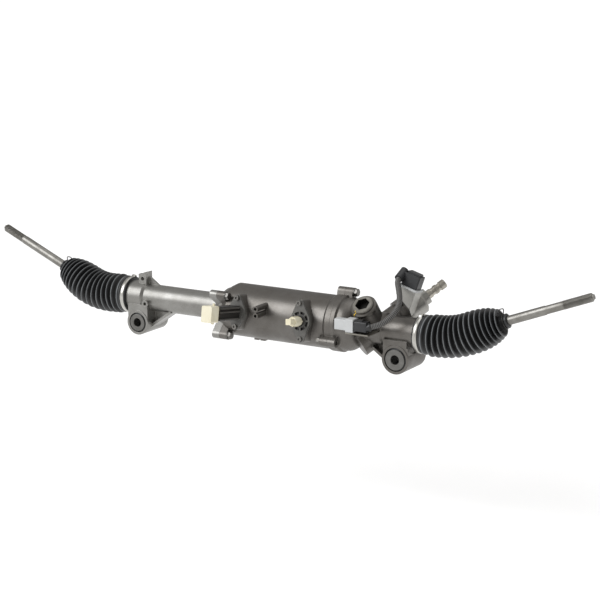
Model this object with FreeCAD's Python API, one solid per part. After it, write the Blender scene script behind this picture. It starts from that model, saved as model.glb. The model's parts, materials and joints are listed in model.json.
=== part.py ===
import FreeCAD, Part
import math
import os

# Electric power-steering rack: a rack and pinion gear whose hollow-shaft motor sits round the rack.
# Modelled with the rack axis along X at y = z = 0 and x = 0 at the left mounting bush.
# Every part is moved at the end, so that the origin lies in the middle of that bush.

V = FreeCAD.Vector

# Rack, its travel and its ball joints
RACK_R = 13.0
LEFT_BALL_X = -108.5
RIGHT_BALL_X = 661.5
TRAVEL_LEFT = 65.5
TRAVEL_RIGHT = 78.5
SOCKET_R = 20.0
SOCKET_LENGTH = 30.0
SOCKET_MOUTH = 66.0
SOCKET_STUD_R = 8.0
SOCKET_STUD_LENGTH = 12.0
BALL_R = 14.0
LINER_WALL = 2.5
LINER_MOUTH = 58.0

# Clearances
RUNNING = 0.05
APART = 0.3
SEAT = 0.02

# Tie rods, both the same and both tilted the same way at rest
ROD_RISE = 20.6
ROD_SWEEP = 5.5
ROD_LENGTH = 284.0
ROD_R = 8.4
ROD_NECK_R = 7.0
ROD_NECK_END = 24.0
ROD_FLATS_START = 204.0
ROD_FLATS_END = 226.0
ROD_FLATS_WIDTH = 14.5
THREAD_R = 8.0
THREAD_LENGTH = 55.0
THREAD_RUNOUT = 3.0
THREAD_CHAMFER = 1.6
TIP_R = 5.0
TIP_LENGTH = 3.0

# Boots
BOOT_CREST_R = 38.5
BOOT_ROOT_R = 31.0
BOOT_CUFF_R = 34.2
BOOT_CUFF_LENGTH = 14.0
BOOT_NECK_R = 12.4
BOOT_NECK_T = 112.0
BOOT_NECK_LENGTH = 14.0
BOOT_LIP = 17.5
BOOT_RELIEF = 1.0
BOOT_FOLDS = 12
BOOT_TAPER_FOLDS = 3
BOOT_WALL = 2.0
BOOT_SEAT = 0.1
BOOT_BEND_TANGENT = 55.0
CLAMP_WIDTH = 8.0
CLAMP_FROM_END = 11.0
CLAMP_THICKNESS = 1.4
CLAMP_EAR = 9.0
CLIP_THICKNESS = 1.6
CLIP_WIDTH = 5.0
CLIP_EAR = 9.0

# Left housing: end tube, mounting lug, ear and bolted flange
LEFT_END_X = -45.5
LEFT_SPIGOT_R = 29.8
LEFT_SPIGOT_END_X = 5.0
TUBE_R = 25.7
TUBE_BORE_R = 19.5
TUBE_START_X = 10.0
TUBE_END_X = 180.0
LEFT_SEAM_X = 203.5
LEFT_FLANGE_R = 41.0
LEFT_FLANGE_THICKNESS = 8.0
STOP_R = 23.5
STOP_MARGIN = 3.0
BUSH_R = 17.0
BUSH_LENGTH = 28.0

# Mounting lugs and bushes
LUG_DROP = 47.0
LUG_FRONT_Y = -30.0
LUG_LENGTH = 70.0
LEFT_LUG_R = 24.5
RIGHT_LUG_R = 27.0
RIGHT_LUG_X = 571.0
LUG_WALL = 5.0
SLEEVE_R = 14.2
SLEEVE_BORE_R = 8.5
SLEEVE_PROUD = 1.5
RUBBER_INSET = 3.0
LUG_NECK_SHARE = 0.94
GUSSET_LENGTH = 62.0
GUSSET_THICKNESS = 8.0
GUSSET_RIB_WIDTH = 34.0
GUSSET_RIB_THICKNESS = 5.0

# Drilled ear above the left spigot and drilled boss on the front of the left housing
EAR_FRONT_Y = -11.0
EAR_BACK_Y = 9.0
EAR_SEAM_Y = -1.0
EAR_HALF_WIDTH = 9.0
EAR_TOP = 46.0
EAR_HOLE_Z = 37.0
EAR_HOLE_R = 3.6
BOSS_X = 20.0
BOSS_Z = -7.0
BOSS_R = 7.2
BOSS_FACE = 33.0
BOSS_HOLE_R = 3.2
BOSS_HOLE_DEPTH = 7.0

# Motor housing
MOTOR_R = 50.5
MOTOR_CAVITY_R = 45.5
MOTOR_SHOULDER_X = 218.0
RIGHT_SEAM_X = 446.5
SEAM_RING_R = 53.0
SEAM_RING_WIDTH = 11.0
FLANGE_BOLT_CIRCLE_R = 59.0
FLANGE_BOSS_R = 8.5
FLANGE_BOSS_LENGTH = 16.0
LEFT_BOLT_ANGLES = (144.0, 227.0, 5.0)
RIGHT_BOLT_ANGLES = (76.0, 205.0, 318.0)
BOLT_R = 4.0
BOLT_HEAD_WIDTH = 13.0
BOLT_HEAD_HEIGHT = 8.0
BOLT_WASHER_R = 8.3
BOLT_WASHER_HEIGHT = 1.6

# Rotor, ball nut, stator and bearings
ROTOR_BORE_R = 15.5
ROTOR_R = 21.0
ROTOR_LARGE_R = 30.0
NUT_R = 24.0
NUT_START_X = 248.0
NUT_LENGTH = 52.0
ROTOR_START_X = 227.0
ROTOR_STEP_X = 302.0
ROTOR_END_X = 466.0
LARGE_BEARING_X = 228.0
LARGE_BEARING_WIDTH = 18.0
SMALL_BEARING_X = 450.0
SMALL_BEARING_WIDTH = 14.0
SMALL_BEARING_R = 34.0
STATOR_X = 318.0
STATOR_LENGTH = 56.0
STATOR_BORE_R = 27.5
MAGNET_R = 26.5
MAGNET_COUNT = 8
WINDING_LENGTH = 11.0
WINDING_R = 41.0
STATOR_TEETH = 12
RESOLVER_X = 388.0
RESOLVER_WIDTH = 11.0
RESOLVER_BORE_R = 24.6
RESOLVER_ROTOR_R = 24.0
RESOLVER_LOBES = 4

# Connector pads on the front of the motor
PAD_TILT = 9.0
PAD_FACE = 60.0
POWER_X = 253.0
POWER_FLANGE_R = 20.5
POWER_BOLT_SPACING = 54.0
POWER_END_R = 7.0
POWER_FLANGE_THICKNESS = 5.0
TOWER_WIDTH = 19.0
TOWER_HEIGHT = 27.0
TOWER_LENGTH = 104.0
TOWER_RIB = 1.6
TOWER_RIB_COUNT = 3
CAP_WIDTH = 22.0
CAP_HEIGHT = 30.5
CAP_LENGTH = 24.0
CAP_WALL = 1.6
CAP_TAB = 4.0
ANGLE_X = 392.0
ANGLE_FLANGE_R = 21.5
ANGLE_BOLT_SPACING = 66.0
ANGLE_END_R = 6.5
ANGLE_FLANGE_THICKNESS = 6.0
ANGLE_FLANGE_TURN = 6.0
ANGLE_RING_R = 17.5
ANGLE_RING_INNER_R = 12.5
ANGLE_SLOTS = 8
PLUG_R = 8.5
PLUG_LENGTH = 22.0
PLUG_END_WIDTH = 11.0
PLUG_END_LENGTH = 14.0
SCREW_R = 2.5
SCREW_HEAD_R = 4.6
SCREW_HEAD_HEIGHT = 4.0
SCREW_POCKET_GAP = 0.8
TWIN_BOSS_X = 305.0
TWIN_BOSS_Z = 18.5
TWIN_BOSS_SPACING = 13.0
TWIN_BOSS_FACE = 80.0
TWIN_BOSS_R = 5.6
TWIN_HOLE_R = 2.9

# Gear housing
BELL_R = 49.6
BELL_STRAIGHT_X = 462.0
BELL_END_X = 488.0
GEAR_TUBE_R = 30.0
RIGHT_SPIGOT_X = 541.0
RIGHT_SPIGOT_R = 27.5
RIGHT_END_X = 612.0

# Pinion and guide axes, seen from the rack
PINION_X = 510.5
PINION_LEAN = 34.0
GUIDE_TURN = 50.0
PINION_OFFSET = 15.0
MODULE = 1.75
PINION_TEETH = 8
PRESSURE_ANGLE = 25.0
RACK_ADDENDUM = 1.19
PINION_ADDENDUM = 1.60
TOOTH_ROOT_GAP = 0.35
BACKLASH = 0.16
RACK_TOOTH_MARGIN = 15.0
PINION_FACE_HALF = 13.0
LOWER_JOURNAL_R = 7.0
LOWER_JOURNAL_END = -33.0
UPPER_JOURNAL_R = 9.0
PINION_WAIST_R = 6.2
PINION_HEAD_R = 13.0
PINION_HEAD_START = 58.0
PINION_HEAD_END = 74.0
PINION_CAVITY_R = 12.0
LOWER_BEARING_R = 13.5
LOWER_BEARING_START = -31.0
LOWER_BEARING_WIDTH = 9.0
UPPER_BEARING_R = 17.0
UPPER_BEARING_START = 30.0
UPPER_BEARING_WIDTH = 12.0
BARREL_R = 24.0
BARREL_START = -38.0
BARREL_END = 66.0
SENSOR_FLANGE_R = 27.5
SENSOR_FLANGE_THICKNESS = 7.0
SENSOR_EAR_R = 6.5
SENSOR_SCREW_CIRCLE_R = 31.0
SENSOR_SCREW_ANGLES = (95.0, 215.0, 335.0)
INPUT_R = 8.6
INPUT_START = 60.0
INPUT_END = 158.0
INPUT_COLLAR_R = 10.5
SERRATION_START = 134.0
SERRATION_COUNT = 24
SERRATION_DEPTH = 0.7
SERRATION_SHARE = 0.22
CLAMP_GROOVE_T = 143.0
CLAMP_GROOVE_R = 7.0
TORSION_BAR_R = 3.0
TORSION_BAR_START = 40.0
TORSION_BAR_END = 130.0

# Torque sensor
SENSOR_R = 25.0
SENSOR_START = 66.0
SENSOR_END = 106.0
SENSOR_NOSE_R = 15.0
SENSOR_NOSE_END = 117.0
SENSOR_BORE_R = 19.0
COIL_R = 18.9
COIL_BORE_R = 14.5
COIL_START = 72.0
COIL_LENGTH = 22.0
RING_R = 13.5
RING_LENGTH = 8.0
SEAL_WIDTH = 7.0
SEAL_R = 12.5
TOWER_TOP = (567.0, 34.0, 72.0)
TOWER_DIRECTION = (0.28, 0.12, 0.95)
PLATE_WIDTH = 40.0
PLATE_DEPTH = 30.0
PLATE_THICKNESS = 4.0
HEADER_WIDTH = 33.0
HEADER_DEPTH = 24.0
HEADER_HEIGHT = 24.0

# Rack guide
GUIDE_R = 15.0
GUIDE_LENGTH = 36.0
GUIDE_BOSS_R = 25.0
GUIDE_BOSS_END = 55.0
GUIDE_PLUG_R = 19.5
GUIDE_PLUG_START = 48.0
GUIDE_PLUG_END = 68.0
GUIDE_SOCKET_WIDTH = 24.0
GUIDE_SOCKET_DEPTH = 13.0
LOCKNUT_R = 24.5
LOCKNUT_HEIGHT = 8.0
SPRING_R = 9.0
SPRING_WIRE_R = 1.6

# Harness between the torque sensor and the front connector
CONDUIT_R = 5.4
CONDUIT_ROUTE = (
    (541.0, -66.0, 17.5),
    (556.0, -63.0, 22.0),
    (569.0, -54.0, 32.0),
    (576.0, -41.0, 44.0),
    (576.5, -27.0, 55.5),
    (570.0, -12.0, 67.0),
    (559.5, 2.0, 79.0),
    (551.5, 12.0, 90.0),
    (553.0, 22.5, 96.5),
)
PLUG_X = 509.0
PLUG_BLOCK_LENGTH = 32.0
PLUG_BLOCK_DEPTH = 17.0
PLUG_BLOCK_HEIGHT = 19.0
RECEPTACLE_X = 470.0
RECEPTACLE_STEP_X = 494.0
RECEPTACLE_DEPTH = 16.0
RECEPTACLE_HEIGHT = 20.0
RECEPTACLE_LIP = 2.4
CONNECTOR_Y = -66.0
CONNECTOR_Z = 16.5
BRACKET_THICKNESS = 2.5
BRACKET_WIDTH = 36.0
BRACKET_X = 504.0


def unit(vector):
    result = V(vector)
    result.normalize()
    return result


class Axis:
    """A line with a direction and two cross directions; shapes are built along it."""

    def __init__(self, origin, direction, up):
        self.origin = V(origin)
        self.direction = unit(direction)
        self.up = unit(V(up) - self.direction * self.direction.dot(V(up)))
        self.side = self.up.cross(self.direction)

    def point(self, along, side=0.0, up=0.0):
        return self.origin + self.direction * along + self.side * side + self.up * up

    def placement(self):
        turn = FreeCAD.Rotation(self.side, self.up, self.direction, "ZXY")
        return FreeCAD.Placement(self.origin, turn)

    def cylinder(self, radius, start, end):
        return Part.makeCylinder(radius, end - start, self.point(start), self.direction)

    def ring(self, outer, inner, start, end):
        return self.cylinder(outer, start, end).cut(self.cylinder(inner, start - 1, end + 1))

    def turned(self, profile):
        """Revolve a closed outline of (along, radius) points round the axis."""
        points = [V(radius, 0, along) for along, radius in profile]
        return self.spun(Part.makePolygon(points + points[:1]).Edges)

    def spun(self, edges):
        """Revolve a closed outline of edges, drawn with x as radius and z as the way along."""
        solid = Part.Face(Part.Wire(edges)).revolve(V(0, 0, 0), V(0, 0, 1), 360)
        solid.Placement = self.placement()
        return solid

    def prism(self, outline, start, end):
        """Extrude a closed outline of (side, up) points along the axis."""
        points = [self.point(start, side, up) for side, up in outline]
        face = Part.Face(Part.makePolygon(points + points[:1]))
        return face.extrude(self.direction * (end - start))

    def box(self, start, end, side_from, side_to, up_from, up_to):
        corners = [(side_from, up_from), (side_to, up_from), (side_to, up_to), (side_from, up_to)]
        return self.prism(corners, start, end)

    def hexagon(self, width, start, end, turn=0.0):
        corner = width / 2 / math.cos(math.radians(30))
        angles = [math.radians(60 * i + turn) for i in range(6)]
        return self.prism([(corner * math.cos(a), corner * math.sin(a)) for a in angles], start, end)

    def parallel(self, side, up):
        return Axis(self.point(0, side, up), self.direction, self.up)


def joined(shapes):
    result = shapes[0]
    if len(shapes) > 1:
        result = result.fuse(shapes[1:])
    return result.removeSplitter()


def group(shapes):
    return Part.makeCompound(shapes)


def rounded(solid, radius, test):
    """Fillet the edges that the test picks; the radius suits the wall beside them."""
    edges = [edge for edge in solid.Edges if test(edge)]
    if not edges:
        return solid
    return solid.makeFillet(radius, edges)


def runs_along(direction):
    def test(edge):
        if edge.Curve.TypeId != "Part::GeomLine":
            return False
        return abs(unit(edge.tangentAt(edge.FirstParameter)).dot(direction)) > 0.999
    return test


LEAN = math.radians(PINION_LEAN)
TURN = math.radians(GUIDE_TURN)
PINION_DIRECTION = V(math.sin(LEAN), math.cos(LEAN) * math.sin(TURN), math.cos(LEAN) * math.cos(TURN))
GUIDE_DIRECTION = V(0, -math.cos(TURN), math.sin(TURN))
RACK = Axis(V(0, 0, 0), V(1, 0, 0), V(0, 0, 1))
GUIDE = Axis(V(PINION_X, 0, 0), GUIDE_DIRECTION, PINION_DIRECTION)
PINION = Axis(V(PINION_X, 0, 0) - GUIDE_DIRECTION * PINION_OFFSET, PINION_DIRECTION, GUIDE_DIRECTION)
PITCH_R = MODULE * PINION_TEETH / 2
TOOTH_PITCH_X = math.pi * MODULE / math.cos(LEAN)
LINER_R = BALL_R + RUNNING + LINER_WALL
CAVITY_R = LINER_R + RUNNING
PAD_DIRECTION = V(0, -math.cos(math.radians(PAD_TILT)), math.sin(math.radians(PAD_TILT)))
LUG_BACK_Y = LUG_FRONT_Y + LUG_LENGTH
LUG_MID_Y = LUG_FRONT_Y + LUG_LENGTH / 2


def rod_axis(outward):
    """Line of a tie rod from its ball centre; outward is -1 on the left and 1 on the right."""
    rise = math.radians(ROD_RISE)
    sweep = math.radians(ROD_SWEEP)
    ball_x = LEFT_BALL_X if outward < 0 else RIGHT_BALL_X
    direction = V(outward * math.cos(rise) * math.cos(sweep), math.cos(rise) * math.sin(sweep), math.sin(rise))
    return Axis(V(ball_x, 0, 0), direction, V(0, 0, 1))


def flange_points(angles):
    for angle in angles:
        turn = math.radians(angle)
        yield FLANGE_BOLT_CIRCLE_R * math.cos(turn), FLANGE_BOLT_CIRCLE_R * math.sin(turn)


def flange_ears(angles, seam_x, toward):
    """Bolt bosses on a seam, with a web that runs down to the housing."""
    pieces = []
    end = seam_x + toward * FLANGE_BOSS_LENGTH
    start, stop = min(seam_x, end), max(seam_x, end)
    for side, up in flange_points(angles):
        pieces.append(RACK.parallel(side, up).cylinder(FLANGE_BOSS_R, start, stop))
        out = V(0, side, up)
        web = Axis(V(0, 0, 0), out, V(1, 0, 0))
        pieces.append(web.box(MOTOR_CAVITY_R - 12, FLANGE_BOLT_CIRCLE_R,
                              -FLANGE_BOSS_R, FLANGE_BOSS_R, start, stop))
    return pieces


def bolt_holes(angles, start, stop, radius):
    return [RACK.parallel(side, up).cylinder(radius, start, stop) for side, up in flange_points(angles)]


def hex_bolt(axis, head_face, length, toward):
    """Flanged hex bolt: its washer face is at head_face and its shank runs toward -toward."""
    line = Axis(axis.point(head_face), axis.direction * toward, axis.up)
    washer = line.cylinder(BOLT_WASHER_R, 0, BOLT_WASHER_HEIGHT)
    head = line.hexagon(BOLT_HEAD_WIDTH, BOLT_WASHER_HEIGHT, BOLT_HEAD_HEIGHT)
    dome = line.turned([(BOLT_WASHER_HEIGHT, 0), (BOLT_WASHER_HEIGHT, BOLT_WASHER_R),
                        (BOLT_HEAD_HEIGHT - 1, BOLT_HEAD_WIDTH * 0.56),
                        (BOLT_HEAD_HEIGHT, BOLT_HEAD_WIDTH * 0.48), (BOLT_HEAD_HEIGHT, 0)])
    shank = line.cylinder(BOLT_R - SEAT, -length, 0)
    return joined([washer, head.common(dome), shank])


def flange_bolts(angles, seam_x, heads):
    bolts = []
    for (side, up), toward in zip(flange_points(angles), heads):
        head_face = seam_x + toward * FLANGE_BOSS_LENGTH
        bolts.append(hex_bolt(RACK.parallel(side, up), head_face, FLANGE_BOSS_LENGTH * 1.8, toward))
    return group(bolts)


def lug(x, radius, tube_radius):
    """Mounting eye under the rack housing, with the neck that joins it to the tube."""
    eye = Axis(V(x, 0, -LUG_DROP), V(0, 1, 0), V(0, 0, 1))
    barrel = eye.cylinder(radius, LUG_FRONT_Y, LUG_BACK_Y)
    half = radius * LUG_NECK_SHARE
    neck = eye.box(LUG_FRONT_Y + 1, LUG_BACK_Y - 6, -half, half, 0, LUG_DROP - tube_radius * 0.4)
    return [barrel, neck]


def boot_relief(outward):
    """Room round the spigot for the boot's cuff and its clamp."""
    end = LEFT_END_X if outward < 0 else RIGHT_END_X
    spigot_r = LEFT_SPIGOT_R if outward < 0 else RIGHT_SPIGOT_R
    near = end - outward * (BOOT_LIP + BOOT_RELIEF)
    far = end + outward * BOOT_RELIEF
    return RACK.ring(BOOT_CUFF_R + CLAMP_THICKNESS + 2, spigot_r, min(near, far), max(near, far))


def lug_bore(x, radius):
    eye = Axis(V(x, 0, -LUG_DROP), V(0, 1, 0), V(0, 0, 1))
    return eye.cylinder(radius - LUG_WALL, LUG_FRONT_Y - 1, LUG_BACK_Y + 1)


def lug_sleeve(x):
    eye = Axis(V(x, 0, -LUG_DROP), V(0, 1, 0), V(0, 0, 1))
    return eye.ring(SLEEVE_R, SLEEVE_BORE_R, LUG_FRONT_Y - SLEEVE_PROUD, LUG_BACK_Y + SLEEVE_PROUD)


def lug_rubber(x, radius):
    eye = Axis(V(x, 0, -LUG_DROP), V(0, 1, 0), V(0, 0, 1))
    outer = radius - LUG_WALL
    groove = RUBBER_INSET
    profile = [
        (LUG_FRONT_Y + groove, SLEEVE_R), (LUG_FRONT_Y + 0.5, SLEEVE_R + 1), (LUG_FRONT_Y + groove, outer),
        (LUG_BACK_Y - groove, outer), (LUG_BACK_Y - 0.5, SLEEVE_R + 1), (LUG_BACK_Y - groove, SLEEVE_R),
    ]
    return eye.turned(profile)


def gusset(x, toward, lug_radius, tube_radius):
    """Triangular web between a lug and its tube, with a rib along the slanted edge."""
    low = -LUG_DROP - lug_radius * 0.55
    near = x + toward * lug_radius * 0.5
    far = x + toward * (lug_radius * 0.5 + GUSSET_LENGTH)
    high = -tube_radius * 0.7
    web_line = Axis(V(0, 0, 0), V(0, 1, 0), V(0, 0, 1))
    sign = web_line.side.x
    web = web_line.prism([(sign * near, high), (sign * near, low), (sign * far, high)],
                         LUG_MID_Y - GUSSET_THICKNESS, LUG_MID_Y)
    slope = V(far - near, 0, high - low)
    rib_line = Axis(V(near, LUG_MID_Y - GUSSET_THICKNESS / 2, low), slope, V(0, 1, 0))
    half = GUSSET_RIB_WIDTH / 2
    side = GUSSET_RIB_THICKNESS
    rib = rib_line.box(0, slope.Length - 6, -side / 2, side / 2, -half, half)
    return [web, rib]


def left_rack_housing():
    outer = RACK.turned([
        (LEFT_END_X, 0), (LEFT_END_X, LEFT_SPIGOT_R - 1.5), (LEFT_END_X + 1.5, LEFT_SPIGOT_R),
        (LEFT_SPIGOT_END_X, LEFT_SPIGOT_R), (TUBE_START_X, TUBE_R), (TUBE_END_X, TUBE_R),
        (LEFT_SEAM_X - LEFT_FLANGE_THICKNESS, LEFT_FLANGE_R - 2), (LEFT_SEAM_X, LEFT_FLANGE_R), (LEFT_SEAM_X, 0),
    ])
    body = [outer] + lug(0, LEFT_LUG_R, TUBE_R) + gusset(0, 1, LEFT_LUG_R, TUBE_R)
    body += flange_ears(LEFT_BOLT_ANGLES, LEFT_SEAM_X, -1)
    body += top_ear()
    boss = Axis(V(BOSS_X, 0, BOSS_Z), V(0, -1, 0), V(0, 0, 1))
    body.append(boss.cylinder(BOSS_R, STOP_R - 3, BOSS_FACE))
    stop_x = LEFT_BALL_X + SOCKET_LENGTH + TRAVEL_RIGHT + STOP_MARGIN
    bush_end = stop_x + BUSH_LENGTH + 4
    bore = RACK.turned([
        (LEFT_END_X - 1, 0), (LEFT_END_X - 1, STOP_R), (stop_x, STOP_R), (stop_x, BUSH_R),
        (bush_end, BUSH_R), (bush_end, TUBE_BORE_R), (TUBE_END_X, TUBE_BORE_R),
        (LEFT_SEAM_X - 4, LEFT_FLANGE_R - 9), (LEFT_SEAM_X + 1, LEFT_FLANGE_R - 9), (LEFT_SEAM_X + 1, 0),
    ])
    holes = bolt_holes(LEFT_BOLT_ANGLES, LEFT_SEAM_X - FLANGE_BOSS_LENGTH - 1, LEFT_SEAM_X + 1, BOLT_R)
    holes.append(boss.cylinder(BOSS_HOLE_R, BOSS_FACE - BOSS_HOLE_DEPTH, BOSS_FACE + 1))
    ear_line = Axis(V(0, 0, EAR_HOLE_Z), V(0, 1, 0), V(0, 0, 1))
    holes.append(ear_line.cylinder(EAR_HOLE_R, EAR_FRONT_Y - 1, EAR_BACK_Y + 1))
    return joined(body).cut([bore, lug_bore(0, LEFT_LUG_R), boot_relief(-1)] + holes)


def top_ear():
    """Bracket ear above the left spigot: a drilled plate, a taller block and a gusset."""
    face = Axis(V(0, 0, 0), V(0, 1, 0), V(0, 0, 1))
    sign = face.side.x
    low = TUBE_BORE_R + 0.5
    half = EAR_HALF_WIDTH
    plate = face.box(EAR_FRONT_Y, EAR_SEAM_Y, -half, half, low, EAR_TOP)
    block = face.prism([(sign * -5, low), (sign * half, low), (sign * half, EAR_TOP + 5), (sign * -5, EAR_TOP + 1)],
                       EAR_SEAM_Y, EAR_BACK_Y)
    web = face.prism([(sign * (half - 1), low), (sign * 34, low), (sign * 34, TUBE_R - 1.5),
                      (sign * (half - 1), EAR_TOP - 4)], EAR_SEAM_Y, EAR_SEAM_Y + 5)
    return [plate, block, web]


def rack_bush():
    stop_x = LEFT_BALL_X + SOCKET_LENGTH + TRAVEL_RIGHT + STOP_MARGIN
    return RACK.ring(BUSH_R, RACK_R + RUNNING, stop_x + 2, stop_x + 2 + BUSH_LENGTH)


def diamond(axis, middle_r, end_r, spacing, start, end):
    """Two-bolt flange outline: a round middle, round ends and straight tangent sides."""
    reach = spacing / 2
    tilt = math.asin((middle_r - end_r) / reach)
    pieces = [axis.cylinder(middle_r, start, end)]
    for way in (-1, 1):
        pieces.append(axis.parallel(0, way * reach).cylinder(end_r, start, end))
        low_x, low_y = middle_r * math.cos(tilt), way * middle_r * math.sin(tilt)
        high_x, high_y = end_r * math.cos(tilt), way * (reach + end_r * math.sin(tilt))
        outline = [(low_x, low_y), (high_x, high_y), (-high_x, high_y), (-low_x, low_y)]
        pieces.append(axis.prism(outline, start, end))
    return joined(pieces)


def pad_axis(x, turn=0.0):
    up = FreeCAD.Rotation(PAD_DIRECTION, turn).multVec(V(0, 0, 1))
    return Axis(V(x, 0, 0), PAD_DIRECTION, up)


def flange_screw_places(axis, spacing):
    return [axis.parallel(0, way * spacing / 2) for way in (-1, 1)]


def motor_housing():
    shell = RACK.turned([
        (LEFT_SEAM_X, 0), (LEFT_SEAM_X, LEFT_FLANGE_R), (LEFT_SEAM_X + 4, LEFT_FLANGE_R + 4),
        (MOTOR_SHOULDER_X, MOTOR_R), (RIGHT_SEAM_X - SEAM_RING_WIDTH - 4, MOTOR_R),
        (RIGHT_SEAM_X - SEAM_RING_WIDTH, SEAM_RING_R), (RIGHT_SEAM_X, SEAM_RING_R), (RIGHT_SEAM_X, 0),
    ])
    body = [shell]
    body += flange_ears(LEFT_BOLT_ANGLES, LEFT_SEAM_X, 1)
    body += flange_ears(RIGHT_BOLT_ANGLES, RIGHT_SEAM_X, -1)
    power = pad_axis(POWER_X)
    angle = pad_axis(ANGLE_X, ANGLE_FLANGE_TURN)
    inner = MOTOR_CAVITY_R - 20
    body.append(diamond(power, POWER_FLANGE_R, POWER_END_R, POWER_BOLT_SPACING, inner, PAD_FACE))
    body.append(diamond(angle, ANGLE_FLANGE_R, ANGLE_END_R, ANGLE_BOLT_SPACING, inner, PAD_FACE))
    for way in (-1, 1):
        up = TWIN_BOSS_Z + way * TWIN_BOSS_SPACING / 2
        boss = Axis(V(TWIN_BOSS_X, 0, up), V(0, -1, 0), V(0, 0, 1))
        body.append(boss.cylinder(TWIN_BOSS_R, MOTOR_CAVITY_R - 4, TWIN_BOSS_FACE))
    foot = Axis(V(0, 0, 0), V(0, 0, -1), V(0, 1, 0))
    sign = foot.side.x
    for x in (262, 276):
        body.append(foot.box(MOTOR_CAVITY_R, MOTOR_R + 3, sign * x - 5, sign * x + 5, -8, 6))
    cavity = RACK.turned([
        (LEFT_SEAM_X - 1, 0), (LEFT_SEAM_X - 1, LEFT_FLANGE_R - 9), (LARGE_BEARING_X, LEFT_FLANGE_R - 9),
        (LARGE_BEARING_X, MOTOR_CAVITY_R - 1.5), (LARGE_BEARING_X + LARGE_BEARING_WIDTH, MOTOR_CAVITY_R - 1.5),
        (LARGE_BEARING_X + LARGE_BEARING_WIDTH, MOTOR_CAVITY_R), (RIGHT_SEAM_X + 1, MOTOR_CAVITY_R),
        (RIGHT_SEAM_X + 1, 0),
    ])
    cuts = [cavity]
    cuts += bolt_holes(LEFT_BOLT_ANGLES, LEFT_SEAM_X - 1, LEFT_SEAM_X + FLANGE_BOSS_LENGTH + 1, BOLT_R)
    cuts += bolt_holes(RIGHT_BOLT_ANGLES, RIGHT_SEAM_X - FLANGE_BOSS_LENGTH - 1, RIGHT_SEAM_X + 1, BOLT_R)
    cuts.append(power.cylinder(TOWER_HEIGHT / 2, MOTOR_CAVITY_R - 12, PAD_FACE + 1))
    cuts.append(angle.cylinder(ANGLE_RING_INNER_R, MOTOR_CAVITY_R - 12, PAD_FACE + 1))
    for place in flange_screw_places(power, POWER_BOLT_SPACING) + flange_screw_places(angle, ANGLE_BOLT_SPACING):
        cuts.append(place.cylinder(SCREW_R, PAD_FACE - 12, PAD_FACE + 1))
    for way in (-1, 1):
        up = TWIN_BOSS_Z + way * TWIN_BOSS_SPACING / 2
        boss = Axis(V(TWIN_BOSS_X, 0, up), V(0, -1, 0), V(0, 0, 1))
        cuts.append(boss.cylinder(TWIN_HOLE_R, TWIN_BOSS_FACE - 14, TWIN_BOSS_FACE + 1))
    return joined(body).cut(cuts)


def motor_bearing(start, width, outer, inner):
    """Ball bearing seen as one ring with grooves where its shields lie."""
    middle = (outer + inner) / 2
    half = (outer - inner) / 5
    profile = [
        (start, inner), (start, middle - half), (start + 1, middle - half), (start + 1, middle + half),
        (start, middle + half), (start, outer), (start + width, outer), (start + width, middle + half),
        (start + width - 1, middle + half), (start + width - 1, middle - half),
        (start + width, middle - half), (start + width, inner),
    ]
    return RACK.turned(profile)


def rotor_shaft():
    large_end = ROTOR_STEP_X + 3
    profile = [
        (ROTOR_START_X, NUT_R), (ROTOR_START_X, ROTOR_LARGE_R - RUNNING), (ROTOR_STEP_X, ROTOR_LARGE_R - RUNNING),
        (large_end, ROTOR_R - RUNNING), (ROTOR_END_X, ROTOR_R - RUNNING), (ROTOR_END_X, ROTOR_BORE_R),
        (NUT_START_X + NUT_LENGTH, ROTOR_BORE_R), (NUT_START_X + NUT_LENGTH, NUT_R),
    ]
    return RACK.turned(profile)


def ball_nut():
    nut = RACK.ring(NUT_R, RACK_R + APART, NUT_START_X, NUT_START_X + NUT_LENGTH)
    slots = []
    for turn in (0, 120, 240):
        out = FreeCAD.Rotation(V(1, 0, 0), turn).multVec(V(0, 0, 1))
        line = Axis(V(NUT_START_X + NUT_LENGTH / 2, 0, 0), out, V(1, 0, 0))
        slots.append(line.box(NUT_R - 3, NUT_R + 1, -4, 4, -10, 10))
    return nut.cut(slots)


def rotor_magnets():
    start, end = STATOR_X - 1, STATOR_X + STATOR_LENGTH + 1
    band = RACK.ring(MAGNET_R, ROTOR_R - RUNNING, start, end)
    gaps = []
    for i in range(MAGNET_COUNT):
        out = FreeCAD.Rotation(V(1, 0, 0), 360.0 * i / MAGNET_COUNT).multVec(V(0, 0, 1))
        gaps.append(Axis(V(0, 0, 0), out, V(1, 0, 0)).box(ROTOR_R - 1, MAGNET_R + 1, -1, 1, start - 1, end + 1))
    return band.cut(gaps)


def stator_core():
    core = RACK.ring(MOTOR_CAVITY_R, STATOR_BORE_R, STATOR_X, STATOR_X + STATOR_LENGTH)
    slots = []
    for i in range(STATOR_TEETH):
        out = FreeCAD.Rotation(V(1, 0, 0), 360.0 * (i + 0.5) / STATOR_TEETH).multVec(V(0, 0, 1))
        line = Axis(V(0, 0, 0), out, V(1, 0, 0))
        slots.append(line.box(STATOR_BORE_R - 1, WINDING_R, -3, 3, STATOR_X - 1, STATOR_X + STATOR_LENGTH + 1))
    return core.cut(slots)


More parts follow.
